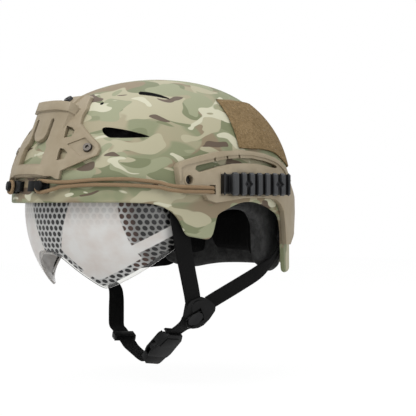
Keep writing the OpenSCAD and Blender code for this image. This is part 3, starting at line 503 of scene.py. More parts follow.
def camouflage(c):
    """Printed camouflage: a cloudy ground, islands of stretched noise cut at a level, and dark twigs."""
    g = Finish("camouflage_print", c["sage"], 0.62)
    raw = g.here()
    wander = g.add("TexNoise", {"Vector": raw, "Scale": 30.0, "Detail": 1.0}).outputs["Color"]
    wander = g.vector("SUBTRACT", wander, (0.5, 0.5, 0.5))
    at = g.vector("ADD", raw, g.vector("MULTIPLY", wander, (0.022, 0.022, 0.016)))
    colour = g.mix(g.step(g.noise(at, 7.0, 1.0), 0.40, 0.60), c["sage"], c["sand"])
    # each island: its colour, scale, stretch in height, shift, level and softness
    for key, scale, tall, shift, level, soft in (
        ("olive", 15.0, 2.1, (0.31, 0.12, 0.07), 0.50, 0.03),
        ("tan", 14.0, 1.9, (0.9, 1.9, 0.2), 0.56, 0.03),
        ("moss", 18.0, 2.5, (1.7, 0.6, 0.33), 0.58, 0.006),
        ("stone", 20.0, 2.3, (2.2, 0.3, 1.4), 0.59, 0.005),
        ("sage", 23.0, 2.2, (1.2, 2.3, 3.4), 0.61, 0.006),
        ("cream", 29.0, 2.4, (0.2, 2.6, 0.9), 0.655, 0.006),
    ):
        island = g.noise(g.moved(at, shift, (0.35, -0.25, 0.5), tall), scale, 0.6, 0.45, 0.9)
        colour = g.mix(g.step(island, level - soft, level + soft), colour, c[key])
    twigs = g.noise(g.moved(at, (0.4, 0.9, 0.1), (0.9, 0.3, 0.2), 3.2), 31.0, 0.0, 0.5, 0.4)
    colour = g.mix(g.step(twigs, 0.70, 0.71), colour, c["bark"])
    # the ground lies in deep shade where it is seen through the rails' round bores
    spot = g.vector("ABSOLUTE", g.vector("SUBTRACT", raw, (0.0, *BORE_AT)))
    away = g.vector("LENGTH", g.vector("MULTIPLY", spot, (0.0, 1.0, 1.0)), out=1)
    side = g.step(g.calc("ABSOLUTE", g.split(raw)[0]), 0.09, 0.091)
    colour = g.mix(g.times(g.fall(away, 0.0046, 0.0052), side), colour, c["bore"])
    g.feed("Base Color", colour)
    g.bump(g.noise(raw, 1300.0, 2.0, 0.6), 0.05, 0.0003)
    return g.material


def loop_pile(name, dark, pale):
    """Loop side of a hook-and-loop patch: matted curls at about a millimetre, paler in clouds."""
    g = Finish(name, dark, 0.95, 0.15)
    at = g.here()
    curls = g.add("TexVoronoi", {"Vector": at, "Scale": 850.0, "Randomness": 1.0}).outputs["Distance"]
    tuft = g.noise(at, 330.0, 5.0, 0.8, 0.6)
    lit = g.plus(g.times(tuft, 1.25), g.times(g.noise(at, 60.0, 4.0, 0.7), 0.4))
    g.feed("Base Color", g.mix(g.step(lit, 0.62, 1.05), dark, pale))
    g.bump(g.less(tuft, g.times(curls, 0.6)), 0.9, 0.0012)
    return g.material


def velour(name, dark, pale):
    """Brushed velour over foam: soft clouds where the nap lies differently, and short fibres in the bump."""
    g = Finish(name, dark, 0.95, 0.1, Sheen_Weight=0.05, Sheen_Roughness=0.45)
    at = g.here()
    fibre = g.noise(at, 1100.0, 3.0, 0.7)
    nap = g.plus(g.noise(at, 120.0, 5.0, 0.7, 0.4), g.times(fibre, 0.4))
    g.feed("Base Color", g.mix(g.step(nap, 0.5, 0.95), dark, pale))
    g.bump(fibre, 0.6, 0.0008)
    return g.material


def mesh_cloth(name, dark, pale):
    """Knitted spacer mesh: small round pores in offset rows over soft folds."""
    g = Finish(name, dark, 0.9, 0.08)
    at = g.here()
    pores = g.add("TexVoronoi", {"Vector": at, "Scale": 520.0, "Randomness": 0.15}).outputs["Distance"]
    knit = g.step(pores, 0.18, 0.42)
    # painted shade: darker in the pores than on the threads round them
    g.feed("Base Color", g.mix(knit, dark, pale))
    g.bump(g.plus(knit, g.times(g.noise(at, 40.0, 3.0), 2.0)), 0.5, 0.0007)
    return g.material


def weave(name, dark, pale, pitch=1.3):
    """Flat webbing: warp ribs along the band, each crossed by slanted picks, from the band's own UV in mm."""
    g = Finish(name, dark, 0.85, 0.12)
    u, v, _ = g.split(g.flat())
    rib = g.calc("SINE", g.times(v, 2 * math.pi / pitch))
    slant = g.times(g.times(g.calc("SIGN", rib), 0.6), 3.0)
    pick = g.calc("SINE", g.plus(g.times(u, 2 * math.pi / (pitch * 0.8)), slant))
    height = g.plus(g.calc("ABSOLUTE", rib), g.times(pick, 0.5))
    fuzz = g.noise(g.here(), 600.0, 3.0, 0.7)
    # painted light and shade: paler where the weave stands higher, on the ribs' tops, and darker in the
    # grooves, with fuzz that varies at random
    g.feed("Base Color", g.mix(g.step(g.plus(height, fuzz), 0.3, 2.2), dark, pale))
    g.bump(height, 0.5, 0.0004)
    return g.material


def braid(name, dark, pale, pitch=1.9):
    """Braided cover of an elastic cord: two families of strands that cross at a slant, from its UV in mm."""
    g = Finish(name, dark, 0.8, 0.2)
    uv = g.split(g.flat())
    u, v = (g.times(s, 2 * math.pi / pitch) for s in (uv[0], uv[1]))
    one, two = (g.calc("ABSOLUTE", g.calc("SINE", s)) for s in (g.plus(u, v), g.less(u, v)))
    height = g.calc("MAXIMUM", one, two)
    # painted light and shade: paler on the strands' crowns and darker in the grooves between them
    g.feed("Base Color", g.mix(g.step(height, 0.35, 1.0), dark, pale))
    g.bump(height, 0.6, 0.0004)
    return g.material


def dots(g, at, pitch, radius, soft):
    """Honeycomb of round dots: 1 near a point of two shifted lattices, each pitch by pitch times root 3."""
    cell = (pitch, pitch * math.sqrt(3), 1.0)
    away = []
    for shift in (0.0, 0.5):
        spot = g.vector("FRACTION", g.vector("ADD", g.vector("DIVIDE", at, cell), (shift, shift, 0.0)))
        spot = g.vector("MULTIPLY", g.vector("SUBTRACT", spot, (0.5, 0.5, 0.0)), (cell[0], cell[1], 0.0))
        away.append(g.vector("LENGTH", spot, out=1))
    return g.fall(g.calc("MINIMUM", *away), radius - soft, radius + soft)


def filmed_lens(c):
    """Clear sheet with a film: pale plain panels, a printed net whose holes are painted as dark dots of
    shade, and a bare clear rim.
    """
    g = Finish("filmed_lens", c["film"], 0.3, IOR=1.5, Coat_Weight=0.25, Coat_Roughness=0.1)
    at = g.flat()
    u, v, _ = g.split(at)
    edge = g.add("Attribute", attribute_name="film_edge").outputs["Fac"]
    # nets: round the nose and the far side, over the temple, and a belt along the lower edge
    nose = g.fall(g.plus(u, g.times(v, 0.42)), 47.0, 48.0)
    nose = g.times(nose, g.step(g.less(u, g.times(v, 0.25)), -19.0, -18.0))
    temple = g.step(g.less(u, g.times(v, 0.16)), 84.5, 85.5)
    belt = g.times(g.fall(edge, 11.5, 12.2), g.step(u, 1.0, 2.0))
    net = g.calc("MAXIMUM", g.calc("MAXIMUM", nose, temple), belt)
    # a plain band slants up across the nets towards the temple
    band = g.plus(v, g.times(u, 0.46))
    plain = g.times(g.step(band, 97.5, 98.3), g.fall(band, 107.0, 107.8))
    net = g.times(net, g.less(1.0, plain))
    film = g.mix(g.step(g.noise(at, 0.06, 3.0), 0.35, 0.7), c["film"], c["warm_film"])
    film = g.mix(net, film, g.mix(g.step(u, 92.0, 100.0), c["net"], c["dark_net"]))
    brown = g.times(g.step(u, 84.0, 85.0), g.fall(u, 99.0, 106.0))
    ghost = g.times(g.fall(v, 18.0, 38.0), 0.2)
    # painted shade: the dots, brownish over the temple and faint near the upper edge, paint the helmet's
    # shaded inside seen through the net's holes
    shaded_holes = g.times(dots(g, at, 6.3, 2.3, 0.16), g.calc("MAXIMUM", net, ghost))
    film = g.mix(shaded_holes, film, g.mix(brown, c["dot"], c["warm_dot"]))
    g.feed("Base Color", film)
    lit = g.add("BsdfTranslucent", {"Color": film})
    sheet = g.add("MixShader", {0: 0.3, 1: g.shader.outputs[0], 2: lit.outputs[0]}).outputs[0]
    clear = g.add("BsdfTransparent", {"Color": c["bare"]}).outputs[0]
    gloss = g.add("BsdfGlossy", {"Color": (1, 1, 1, 1), "Roughness": 0.06}).outputs[0]
    fresnel = g.add("Fresnel", {"IOR": 1.45}).outputs[0]
    bare = g.add("MixShader", {0: fresnel, 1: clear, 2: gloss}).outputs[0]
    covered = g.times(g.step(edge, 3.4, 4.2), 0.97)
    g.surface(g.add("MixShader", {0: covered, 1: bare, 2: sheet}))
    return g.material


# ---- what a user may change
def length(words, size):
    """A size that a user may change, given in mm."""
    return bpy.props.FloatProperty(name=words, default=size * MM, unit="LENGTH")


def tint(text, words):
    """A colour that a user may change, kept as a hex text."""
    return bpy.props.StringProperty(name=words, default=text)


class HELMET_PG_sizes(bpy.types.PropertyGroup):
    """Sizes of the soft and thin pieces, as the solids hold them, and the camera's place."""

    webbing: length("Thickness of the straps", 1.6)
    front_strap: length("Width of the front straps", 18)
    rear_strap: length("Width of the rear straps", 14)
    short_strap: length("Width of the short strap above the buckle", 19)
    chin_strap: length("Width of the chin strap", 15.4)
    elastic: length("Thickness of the elastic cords", 3.4)
    edge: length("Rounding of moulded edges", 0.6)
    camera_far: length("Distance of the camera", 1400)
    camera_turn: bpy.props.FloatProperty(
        name="Turn of the camera to the left side", default=math.radians(53), subtype="ANGLE")


class HELMET_PG_colours(bpy.types.PropertyGroup):
    """Colours as they are seen on a screen."""

    sage: tint("#898C6F", "Pale green of the print's ground")
    sand: tint("#958D73", "Pale sand of the print's ground")
    olive: tint("#7A7E60", "Olive clouds of the print")
    moss: tint("#6C7152", "Moss green islands of the print")
    tan: tint("#7F7159", "Tan clouds of the print")
    stone: tint("#A39E84", "Pale stone islands of the print")
    cream: tint("#BBB9A2", "Cream flecks of the print")
    bark: tint("#524334", "Brown bark and twigs of the print")
    bore: tint("#1D1712", "Shade inside the rails' round bores")
    earth: tint("#877A63", "Rails and front plate")
    earth_pale: tint("#9C907B", "Paler clouds of the rails and front plate")
    pile: tint("#6B583B", "Loop patch in its shade")
    pile_pale: tint("#957F5E", "Loop patch in the light")
    slate: tint("#2E2F31", "Ribbed adapters")
    slate_pale: tint("#3A3B3D", "Paler clouds of the adapters")
    slot: tint("#050506", "Shade in the adapters' cross slots")
    black: tint("#0A0A0B", "Buckle, dividers and brackets")
    black_pale: tint("#121212", "Paler clouds of the black plastic")
    lever: tint("#121213", "Levers of the dividers")
    lever_pale: tint("#1B1B1C", "Paler clouds of the levers")
    plated: tint("#77777A", "Plated steel")
    dark_plated: tint("#4B4743", "Dark plated screws of the front plate")
    blackened: tint("#3A3A3C", "Blackened steel")
    # the straps' two colours are painted shade in the weave's grooves and painted light on the ribs' tops
    web: tint("#070707", "Straps in their shade")
    web_pale: tint("#131313", "Ribs of the straps")
    nap: tint("#262626", "Liner in its shade")
    nap_pale: tint("#4A4A4A", "Liner where the nap is lit")
    # the pads' darker colour is painted shade in their pores
    knit: tint("#060606", "Pads in their pores")
    knit_pale: tint("#101010", "Threads of the pads")
    # the cord's two colours are painted shade between the strands and painted light on their crowns
    cord: tint("#5A4733", "Elastic cord between its strands")
    cord_pale: tint("#937C60", "Strands of the elastic cord")
    film: tint("#E4E3E1", "Protective film of the lens")
    warm_film: tint("#DAD3CE", "Warmer clouds of the film")
    net: tint("#C4C4C3", "Printed net of the film")
    dark_net: tint("#8C8C8A", "Printed net over the temple")
    # the net's dots are painted shade: the helmet's dark inside seen through the net's holes
    dot: tint("#0C0C0D", "Dots of the net")
    warm_dot: tint("#43291F", "Brownish dots of the net")
    bare: tint("#F4F4F2", "Lens where it has no film")
    hub: tint("#D8D8D4", "Pivot discs of the lens")
    floor: tint("#E8E8E6", "Floor")


FINISH = {}


def colours():
    """The colour properties as linear colours."""
    group = bpy.context.scene.helmet_colours
    return {name: srgb(getattr(group, name)) for name in HELMET_PG_colours.__annotations__}


def sizes():
    """The sizes in mm, without those of the camera."""
    group = bpy.context.scene.helmet_sizes
    names = [name for name in HELMET_PG_sizes.__annotations__ if not name.startswith("camera")]
    return {name: getattr(group, name) / MM for name in names}


def finish_of(name):
    """One shared material for each finish, made when it is first asked for."""
    if name in FINISH:
        return FINISH[name]
    c = colours()
    makers = {
        "camo": lambda: camouflage(c),
        "tan_polymer": lambda: moulded_plastic("earth_plastic", c["earth"], c["earth_pale"], 0.55, 0.35),
        "black_polymer": lambda: moulded_plastic("black_plastic", c["black"], c["black_pale"], 0.5, 0.12),
        "lever": lambda: moulded_plastic("lever_plastic", c["lever"], c["lever_pale"], 0.45, 0.15),
        "slate_polymer": lambda: ribbed_plastic("slate_plastic", c["slate"], c["slate_pale"], c["slot"]),
        "steel": lambda: metal("plated_steel", c["plated"], 0.38),
        "dark_steel": lambda: metal("dark_plated_steel", c["dark_plated"], 0.42),
        "black_steel": lambda: metal("blackened_steel", c["blackened"], 0.45),
        "loop": lambda: loop_pile("loop_pile", c["pile"], c["pile_pale"]),
        "velour": lambda: velour("charcoal_velour", c["nap"], c["nap_pale"]),
        "pad": lambda: mesh_cloth("pad_mesh_cloth", c["knit"], c["knit_pale"]),
        "webbing": lambda: weave("black_webbing", c["web"], c["web_pale"]),
        "elastic": lambda: braid("braided_elastic", c["cord"], c["cord_pale"]),
    }
    FINISH[name] = makers[name]()
    return FINISH[name]


def place(piece, body, slot, *nodes, material=None, smooth=None):
    """Gives a piece the finish of its slot or a given material, and its body; hides the solids that it stands
    for, and shades it smooth if asked.
    """
    if smooth:
        shade(piece, smooth)
    piece.data.materials.clear()
    piece.data.materials.append(material or finish_of(slot))
    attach(piece, body)
    if nodes:
        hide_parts(*nodes)
    return piece


SLOT_OF = {row["node"]: row["material_slot"] for row in FRAME["record"]["subparts"]}
BODY_OF = {node: body for body, nodes in FRAME["record"]["behaviour"]["bodies"].items() for node in nodes}


def moulded_copy(node, edge, degrees=28, segments=2):
    """A welded copy of a solid with its flats joined and its sharp edges rounded."""
    source = FRAME["nodes"][node]
    piece = bpy.data.objects.new(node + "_moulded", source.data.copy())
    bpy.context.scene.collection.objects.link(piece)
    close(piece, 1e-6, turn=False)
    bm = bmesh.new()
    bm.from_mesh(piece.data)
    bmesh.ops.dissolve_limit(
        bm, angle_limit=math.radians(0.6), verts=bm.verts, edges=bm.edges, delimit={"NORMAL"})
    bm.to_mesh(piece.data)
    bm.free()
    bevel = piece.modifiers.new("edges", "BEVEL")
    bevel.width = edge * MM
    bevel.segments = segments
    bevel.limit_method = "ANGLE"
    bevel.angle_limit = math.radians(degrees)
    bevel.use_clamp_overlap = True
    bake_modifiers(piece)
    shade(piece, 34)
    return piece


# ---- operators
class HELMET_OT_shell(bpy.types.Operator):
    """Smooth shell with its rolled rim and cut vents"""

    bl_idname = "helmet.shell"
    bl_label = "Shell"

    def execute(self, context):
        outer = dict(a=HALF_WIDTH, front=HALF_LENGTH, back=HALF_LENGTH, h=HEIGHT)
        inner = {key: value - WALL for key, value in outer.items()}
        shell = mesh_from("helmet_shell", bowl_grids(SHELL_RIM, outer, inner))
        side, crown = rounded(SIDE_VENT), rounded(CROWN_VENT, 1)
        turn = np.linspace(0, 2 * np.pi, 21)[:-1]
        hole, radius = skin(*BREATHER[:2]), BREATHER[2]
        dot = np.stack([hole[0] + radius * np.cos(turn), hole[1] + radius * np.sin(turn)], -1)
        cutters = []
        for s in (1, -1):
            cutters += prism(side, 40 * s, 125 * s, 0)
            cutters += prism(crown * [s, 1], 60, 130, 2)
            cutters += prism(dot * [s, 1], 70, 110, 2)
        cutter = mesh_from("vent_cutter", cutters)
        cut = shell.modifiers.new("vents", "BOOLEAN")
        cut.object, cut.operation, cut.solver = cutter, "DIFFERENCE", "EXACT"
        bake_modifiers(shell)
        bpy.data.objects.remove(cutter)
        place(shell, "helmet", "camo", "shell", smooth=40)
        # faces inside the outer form, above the height of the painted shade, are the vents' walls and the
        # inner face: black plastic, which paints the shade inside the vents
        shell.data.materials.append(finish_of("black_polymer"))
        at = np.array([face.center for face in shell.data.polygons]) / MM
        plan = np.abs(at[:, 0] / (HALF_WIDTH - 0.5)) ** PLAN_POWER
        plan += np.abs((at[:, 1] - lean(at[:, 2])) / (HALF_LENGTH - 0.5)) ** PLAN_POWER
        form = plan ** (PROFILE_POWER / PLAN_POWER) + np.abs(at[:, 2] / (HEIGHT - 0.5)) ** PROFILE_POWER
        dark = (form < 1) & (at[:, 2] > PAINTED_SHADE_FROM)
        shell.data.polygons.foreach_set("material_index", dark.astype(np.int32))
        return {"FINISHED"}


class HELMET_OT_patch(bpy.types.Operator):
    """Loop patch that wraps the back of the shell"""

    bl_idname = "helmet.patch"
    bl_label = "Loop patch"

    def execute(self, context):
        edge = chaikin(PATCH_LOW, 3)
        edge = np.vstack([edge, (np.array([180, 0]) + edge[::-1] * np.array([-1, 1]))[1:]])
        share = np.linspace(0, 1, 30)[None]
        phi = np.broadcast_to(edge[:, :1], (len(edge), 30))
        z = edge[:, 1:] + (PATCH_TOP - edge[:, 1:]) * share
        outer, inner = skin(phi, z, 2.3), skin(phi, z, 0.5)
        patch = mesh_from("rear_loop_patch_pile", wall_grids(outer, inner))
        place(patch, "helmet", "loop", "rear_loop_patch", smooth=50)
        return {"FINISHED"}


class HELMET_OT_lens(bpy.types.Operator):
    """Visor lens with its film, and its two pivot discs"""

    bl_idname = "helmet.lens"
    bl_label = "Visor lens"

    def execute(self, context):
        half = chaikin(LENS_LOW, 2)
        table = np.vstack([(half[::-1] * [-1, 1])[:-1], half])
        t, down = table[:, :1], table[:, 1:]
        rows = 40
        share = np.linspace(0, 1, rows)[None]

        def sheet(radius, width):
            sine, far = np.sin(np.radians(t)), np.cos(np.radians(t)) ** (2 / VISOR_POWER)
            arm = radius * far
            up = -np.degrees(np.arcsin(np.minimum(VISOR_TOP / (VISOR_RADIUS * far), 0.8)))
            angle = np.radians(up + (down - up) * share)
            x = np.broadcast_to(width * np.sign(sine) * np.abs(sine) ** (2 / VISOR_POWER), angle.shape)
            y, z = VISOR_PIVOT[0] - arm * np.cos(angle), VISOR_PIVOT[1] - arm * np.sin(angle)
            return np.stack([x, y, z], -1), angle, arm

        outer, angle, arm = sheet(VISOR_RADIUS, VISOR_HALF_WIDTH)
        inner = sheet(VISOR_RADIUS - VISOR_WALL, VISOR_HALF_WIDTH - VISOR_WALL)[0]
        middle = along(outer[:, rows // 4])
        middle -= middle[len(middle) // 2]
        u = np.broadcast_to(middle[:, None], angle.shape)
        v = arm * angle + FILM_SHIFT
        sides = wall_grids(outer, inner, 0.3)
        uv = [np.stack([u, v], -1)] * 2 + [np.full(g.shape[:2] + (2,), -500.0) for g in sides[2:]]
        lens = mesh_from("visor_lens_sheet", sides, uv)
        shade(lens, 50)
        # the films of both faces stop short of the lower edge: each point keeps its distance from it in mm
        co = np.zeros(len(lens.data.vertices) * 3, np.float32)
        lens.data.vertices.foreach_get("co", co)
        x, y, z = (co.reshape(-1, 3) / MM).T
        wide = np.degrees(np.arcsin(np.clip(np.abs(x) / VISOR_HALF_WIDTH, 0, 1) ** (VISOR_POWER / 2)))
        back, above = VISOR_PIVOT[0] - y, VISOR_PIVOT[1] - z
        low = np.interp(wide, LENS_LOW[:, 0], LENS_LOW[:, 1]) - np.degrees(np.arctan2(above, back))
        margin = low * np.pi / 180 * np.hypot(back, above)
        store = lens.data.attributes.new("film_edge", "FLOAT", "POINT")
        store.data.foreach_set("value", margin.clip(0).astype(np.float32))
        place(lens, "visor", "lens", "visor_lens", material=filmed_lens(colours()))
        # a disc on each side, turned from its profile round the pivot's axis
        turn = np.linspace(0, 2 * np.pi, 65)[None]
        rim = HUB_RADIUS - HUB_EDGE
        r = np.array([HUB_BORE, rim, HUB_RADIUS, HUB_RADIUS, rim, HUB_BORE, HUB_BORE])[:, None]
        a, b = VISOR_HALF_WIDTH - HUB_IN, VISOR_HALF_WIDTH + HUB_OUT
        x = np.broadcast_to(np.array([a, a, a + HUB_EDGE, b - HUB_EDGE, b, b, a])[:, None], (7, 65))
        disc = np.stack([x, VISOR_PIVOT[0] + r * np.cos(turn), VISOR_PIVOT[1] + r * np.sin(turn)], -1)
        hubs = mesh_from("visor_pivot_discs", [disc, disc * [-1, 1, 1]])
        shade(hubs, 30)
        clear = Finish("clear_hub", colours()["hub"], 0.1, Alpha=0.45, IOR=1.58)
        place(hubs, "visor", "lens", material=clear.material)
        return {"FINISHED"}


class HELMET_OT_liner(bpy.types.Operator):
    """Velour liner with its wings behind the ears"""

    bl_idname = "helmet.liner"
    bl_label = "Liner"

    def execute(self, context):
        inner = {key: value - LINER_WALL for key, value in LINER.items()}
        liner = mesh_from("velour_liner", bowl_grids(LINER_RIM, LINER, inner))
        place(liner, "helmet", "velour", "liner", smooth=60)
        return {"FINISHED"}


class HELMET_OT_pads(bpy.types.Operator):
    """Comfort pads on the liner"""

    bl_idname = "helmet.pads"
    bl_label = "Pads"

    def pad(self, name, node, phi, z, thick, n=40):
        """Cushion on the liner: a square with a rounded outline, as thick as ((1 - x^4)(1 - y^4))^0.4."""
        x, y = np.meshgrid(np.linspace(-1, 1, n), np.linspace(-1, 1, n), indexing="ij")
        pull = 1 - 0.10 * (x * y) ** 2 - 0.03 * (x ** 2 + y ** 2)
        px, py = x * pull, y * pull
        p = phi[0] + (phi[1] - phi[0]) * (px + 1) / 2
        q = z[0] + (z[1] - z[0]) * (py + 1) / 2
        crown = ((1 - x ** 4).clip(0) * (1 - y ** 4).clip(0)) ** 0.4
        across, up = (np.exp(-((np.abs(side) - 0.86) / 0.03) ** 2) for side in (x, y))
        off = 0.5 + (thick - 0.7) * (0.18 + 0.82 * crown * (1 - 0.10 * across - 0.10 * up))

        def at(push):
            base = in_liner(p, q, 0)
            inwards = in_liner(p, q, 10) - base
            return base + inwards / 10 * push[..., None]

        pad = mesh_from(name, wall_grids(at(off), at(np.full_like(off, 0.1)), 0.25))
        place(pad, "helmet", "pad", node, smooth=60)

    def execute(self, context):
        self.pad("front_pad_cushion", "front_pad", (-122, -58), (14, 46), 9)
        self.pad("rear_pad_cushion", "rear_pad", (66, 114), (-50, -4), 10)
        for kind, phi, z, thick in (("side", (-32, 26), (12, 48), 8), ("nape", (44, 64), (-53, -8), 9)):
            for side, angles in (("left", phi), ("right", (180 - phi[0], 180 - phi[1]))):
                self.pad(f"{kind}_pad_cushion_{side}", f"{kind}_pad_{side}", angles, z, thick)
        # crown pad: a round cushion whose wall swells by the sine of its height to the power 0.7
        turn = np.linspace(0, 2 * np.pi, 73)[None]
        s = np.linspace(0, 1, 14)[:, None]
        edge = CROWN_PAD["radius"] + CROWN_PAD["swell"] * np.sin(np.pi * s) ** 0.7
        level = np.broadcast_to(CROWN_PAD["low"] + CROWN_PAD["thick"] * s, (14, 73))
        centre = float(lean(90.0))
        wall = np.stack([edge * np.cos(turn), edge * np.sin(turn) + centre, level], -1)
        caps = []
        for k in (0, -1):
            middle = np.array([0, centre, level[k, 0]])
            caps.append(middle + (wall[k][None] - middle) * np.linspace(1, 0, 10)[:, None, None])
        crown = mesh_from("crown_pad_cushion", [wall] + caps)
        place(crown, "helmet", "pad", "crown_pad", smooth=60)
        return {"FINISHED"}


# Offset of a strap's middle from the shell's skin: wall, fit, half the webbing and the gap behind it.
LIE = -WALL - 0.3 - 0.8 - 0.7
# How much further back and up the right divider hangs.
RIGHT_SHIFT = np.array([0, 19, 32])


def tangent(phi, z):
    """Direction round the shell at a place."""
    return unit(skin(phi + 1, z) - skin(phi - 1, z))


FRONT_LINE = np.array([
    skin(-24, 21, LIE - 0.3), skin(-24, 13, LIE), skin(-24, 3, LIE), [101.2, -42.5, -10],
    [99.3, -36, -41], [94.6, -27.5, -64], [89.4, -19.5, -82], [87.2, -16, -92]])
FRONT_ACROSS = np.array([
    tangent(-24, 15), tangent(-24, 15), tangent(-24, 3), [0.2, 0.97, 0.08], [0.05, 1, 0.22],
    [0, 1, 0.35], [0, 1, 0.4], [0, 1, 0.4]])
REAR_LINE = np.array([
    skin(50.5, -24, LIE - 0.2), skin(50.5, -32, LIE), skin(50, -42, LIE), [82.4, 79.5, -57.5],
    [84, 62, -67.5], [85.6, 38, -78], [86.8, 12, -89], [86.9, 1, -94]])
REAR_ACROSS = np.array([
    tangent(50.5, -24), tangent(50.5, -32), tangent(50, -42), [-0.55, 0.75, -0.35],
    [-0.1, 0.5, -0.85], [0, 0.42, -0.9], [0, 0.4, -0.9], [0, 0.4, -0.9]])
SHORT_LINE = np.array([
    [87.1, -19.5, -108.5], [85.6, -21.2, -112], [79, -23.4, -115.8], [73.6, -24.4, -118.6],
    [68.4, -25.3, -121.4]])
SHORT_ACROSS = np.array([
    [0, 0.95, -0.3], [0, 0.97, -0.25], [-0.1, 0.99, -0.1], [-0.12, 0.99, -0.1], [-0.127, 0.983, -0.127]])
BUCKLE_AT = np.array([56, -28.1, -133.2])
BUCKLE_U = unit(np.array([-0.7, -0.18, -0.69]))
BUCKLE_V = unit(np.array([-0.1, 0.99, -0.1]) - BUCKLE_U * (BUCKLE_U @ np.array([-0.1, 0.99, -0.1])))
BUCKLE_N = np.cross(BUCKLE_U, BUCKLE_V)
KEEPER_AT = np.array([-20, -20.5, -130])
KEEPER_U = unit(np.array([-22, 5.9, 8.6]))
KEEPER_W = [0.22, 0.97, 0]
CHIN_LINE = np.array([
    BUCKLE_AT + 15.5 * BUCKLE_U, BUCKLE_AT + 19 * BUCKLE_U - 0.4 * BUCKLE_N, [38, -31.6, -148.2],
    [30, -31, -147], [20, -29.8, -143.6], *(KEEPER_AT + KEEPER_U * s for s in (-24.3, -13, 13, 24)),
    [-51, -9, -113.5], [-61.5, -2, -104], [-69, 3, -95], [-74, 5, -87.5], [-79, 4.2, -82.2],
    [-85.2, 1.8, -79.7], [-87, 2, -76.6]])
CHIN_ACROSS = np.array([
    BUCKLE_V, BUCKLE_V, [-0.05, 0.99, 0], [0, 1, 0], [0.12, 0.99, 0], KEEPER_W, KEEPER_W, KEEPER_W,
    KEEPER_W, [0.28, 0.96, 0], [0.3, 0.95, 0], [0.2, 0.97, 0], [0.1, 0.98, 0], [0, 0.97, -0.1],
    [0, 0.95, -0.25], [0, 0.95, -0.3]])


def other_side(line):
    """Mirror of a strap, shifted towards its lower end by min(1, 1.15 share^1.1) of the right shift."""
    share = np.clip((np.arange(len(line)) - 3) / (len(line) - 4), 0, 1)[:, None]
    return line * [-1, 1, 1] + RIGHT_SHIFT * np.minimum(1, 1.15 * share ** 1.1)


class HELMET_OT_straps(bpy.types.Operator):
    """Webbing of the harness"""

    bl_idname = "helmet.straps"
    bl_label = "Straps"

    def execute(self, context):
        s = sizes()
        flip = [-1, 1, 1]
        front, rear = other_side(FRONT_LINE), other_side(REAR_LINE)
        bands = [
            ("front_webbing_left", "front_strap_left", FRONT_LINE, FRONT_ACROSS, s["front_strap"]),
            ("rear_webbing_left", "rear_strap_left", REAR_LINE, REAR_ACROSS, s["rear_strap"]),
            ("front_webbing_right", "front_strap_right", front, FRONT_ACROSS * flip, s["front_strap"]),
            ("rear_webbing_right", "rear_strap_right", rear, REAR_ACROSS * flip, s["rear_strap"]),
            ("buckle_webbing", "buckle_strap", SHORT_LINE, SHORT_ACROSS, s["short_strap"]),
            ("chin_webbing", "chin_strap", CHIN_LINE, CHIN_ACROSS, s["chin_strap"]),
        ]
        for name, node, line, across, width in bands:
            band = ribbon(name, line, across, width, s["webbing"])
            if node == "chin_strap":
                # it takes the webbing and hides its solid, but is given no body: its points stay in the world
                # frame
                band.data.materials.append(finish_of("webbing"))
                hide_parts(node)
                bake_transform(band)
            else:
                place(band, "helmet", "webbing", node)
        return {"FINISHED"}


CORD_LINE = np.array([
    [-7.7, 12, 3], [-8.1, 12.1, 7], [-9.9, 12.4, 8.6], [-15, 12.7, 8.6], [-24, 13.2, 8.7],
    [-28.5, 14.4, 7], [-32.1, 16.6, 4.2], [-38, 18.3, 2.6], [-46.1, 19.8, 2.6], [-57.5, 19.2, 2.6],
    [-66, 17.6, 2.6], [-71, 17.2, 2.8], [-75.5, 17.9, 4.8], [-79.5, 18.7, 5.2], [-81.1, 17.2, 5.2],
    [-81.7, 13.5, 5.2], [-81.1, 9.8, 5.2], [-79.5, 8.3, 5.2], [-76, 9.4, 4.9], [-72.5, 11.8, 3.1],
    [-70, 13.2, 2.6], [-57.3, 14.8, 2.6], [-45.9, 14.4, 2.6], [-38, 13.6, 2.6], [-32, 12.4, 4.2],
    [-28.5, 10.5, 7], [-24, 9.3, 8.6], [-15, 8.9, 8.6], [-9.9, 8.7, 8.6], [-8.1, 8.6, 7],
    [-7.7, 8.5, 3]])


class HELMET_OT_cords(bpy.types.Operator):
    """Elastic cords from the front brackets to the rails"""

    bl_idname = "helmet.cords"
    bl_label = "Elastic cords"

    def execute(self, context):
        line = np.array([skin(*row) for row in CORD_LINE])
        for side, s in (("left", 1), ("right", -1)):
            cord = tube("elastic_cord_" + side, line * [s, 1, 1], sizes()["elastic"] / 2)
            place(cord, "helmet", "elastic", "bungee_" + side)
        return {"FINISHED"}


# Share of the usual rounding that each moulded piece has.
ROUNDING = {
    "front_shroud": 1, "side_rail_left": 1, "side_rail_right": 1, "rail_adapter_left": 0.6,
    "rail_adapter_right": 0.6, "lanyard_hook_left": 0.7, "lanyard_hook_right": 0.7,
    "strap_divider_left": 1, "strap_divider_right": 1, "divider_lever_left": 0.5,
    "divider_lever_right": 0.5, "buckle_female": 1.3, "buckle_male": 1, "chin_slider": 1,
}


class HELMET_OT_moulded(bpy.types.Operator):
    """Moulded plastic pieces with rounded edges"""

    bl_idname = "helmet.moulded"
    bl_label = "Moulded pieces"

    def execute(self, context):
        for node, share in ROUNDING.items():
            piece = moulded_copy(node, sizes()["edge"] * share)
            own = finish_of("lever") if node.startswith("divider_lever") else None
            place(piece, BODY_OF[node], SLOT_OF[node], node, material=own)
        return {"FINISHED"}


class HELMET_OT_fasteners(bpy.types.Operator):
    """Finishes of the screws, bolts and pivots that keep their solids"""

    bl_idname = "helmet.fasteners"
    bl_label = "Fasteners"

    def execute(self, context):
        for name, node in FRAME["nodes"].items():
            if node.hide_render:
                continue
            node.data.materials.clear()
            finish = "dark_steel" if name.startswith("shroud_screw") else SLOT_OF[name]
            node.data.materials.append(finish_of(finish))
        return {"FINISHED"}


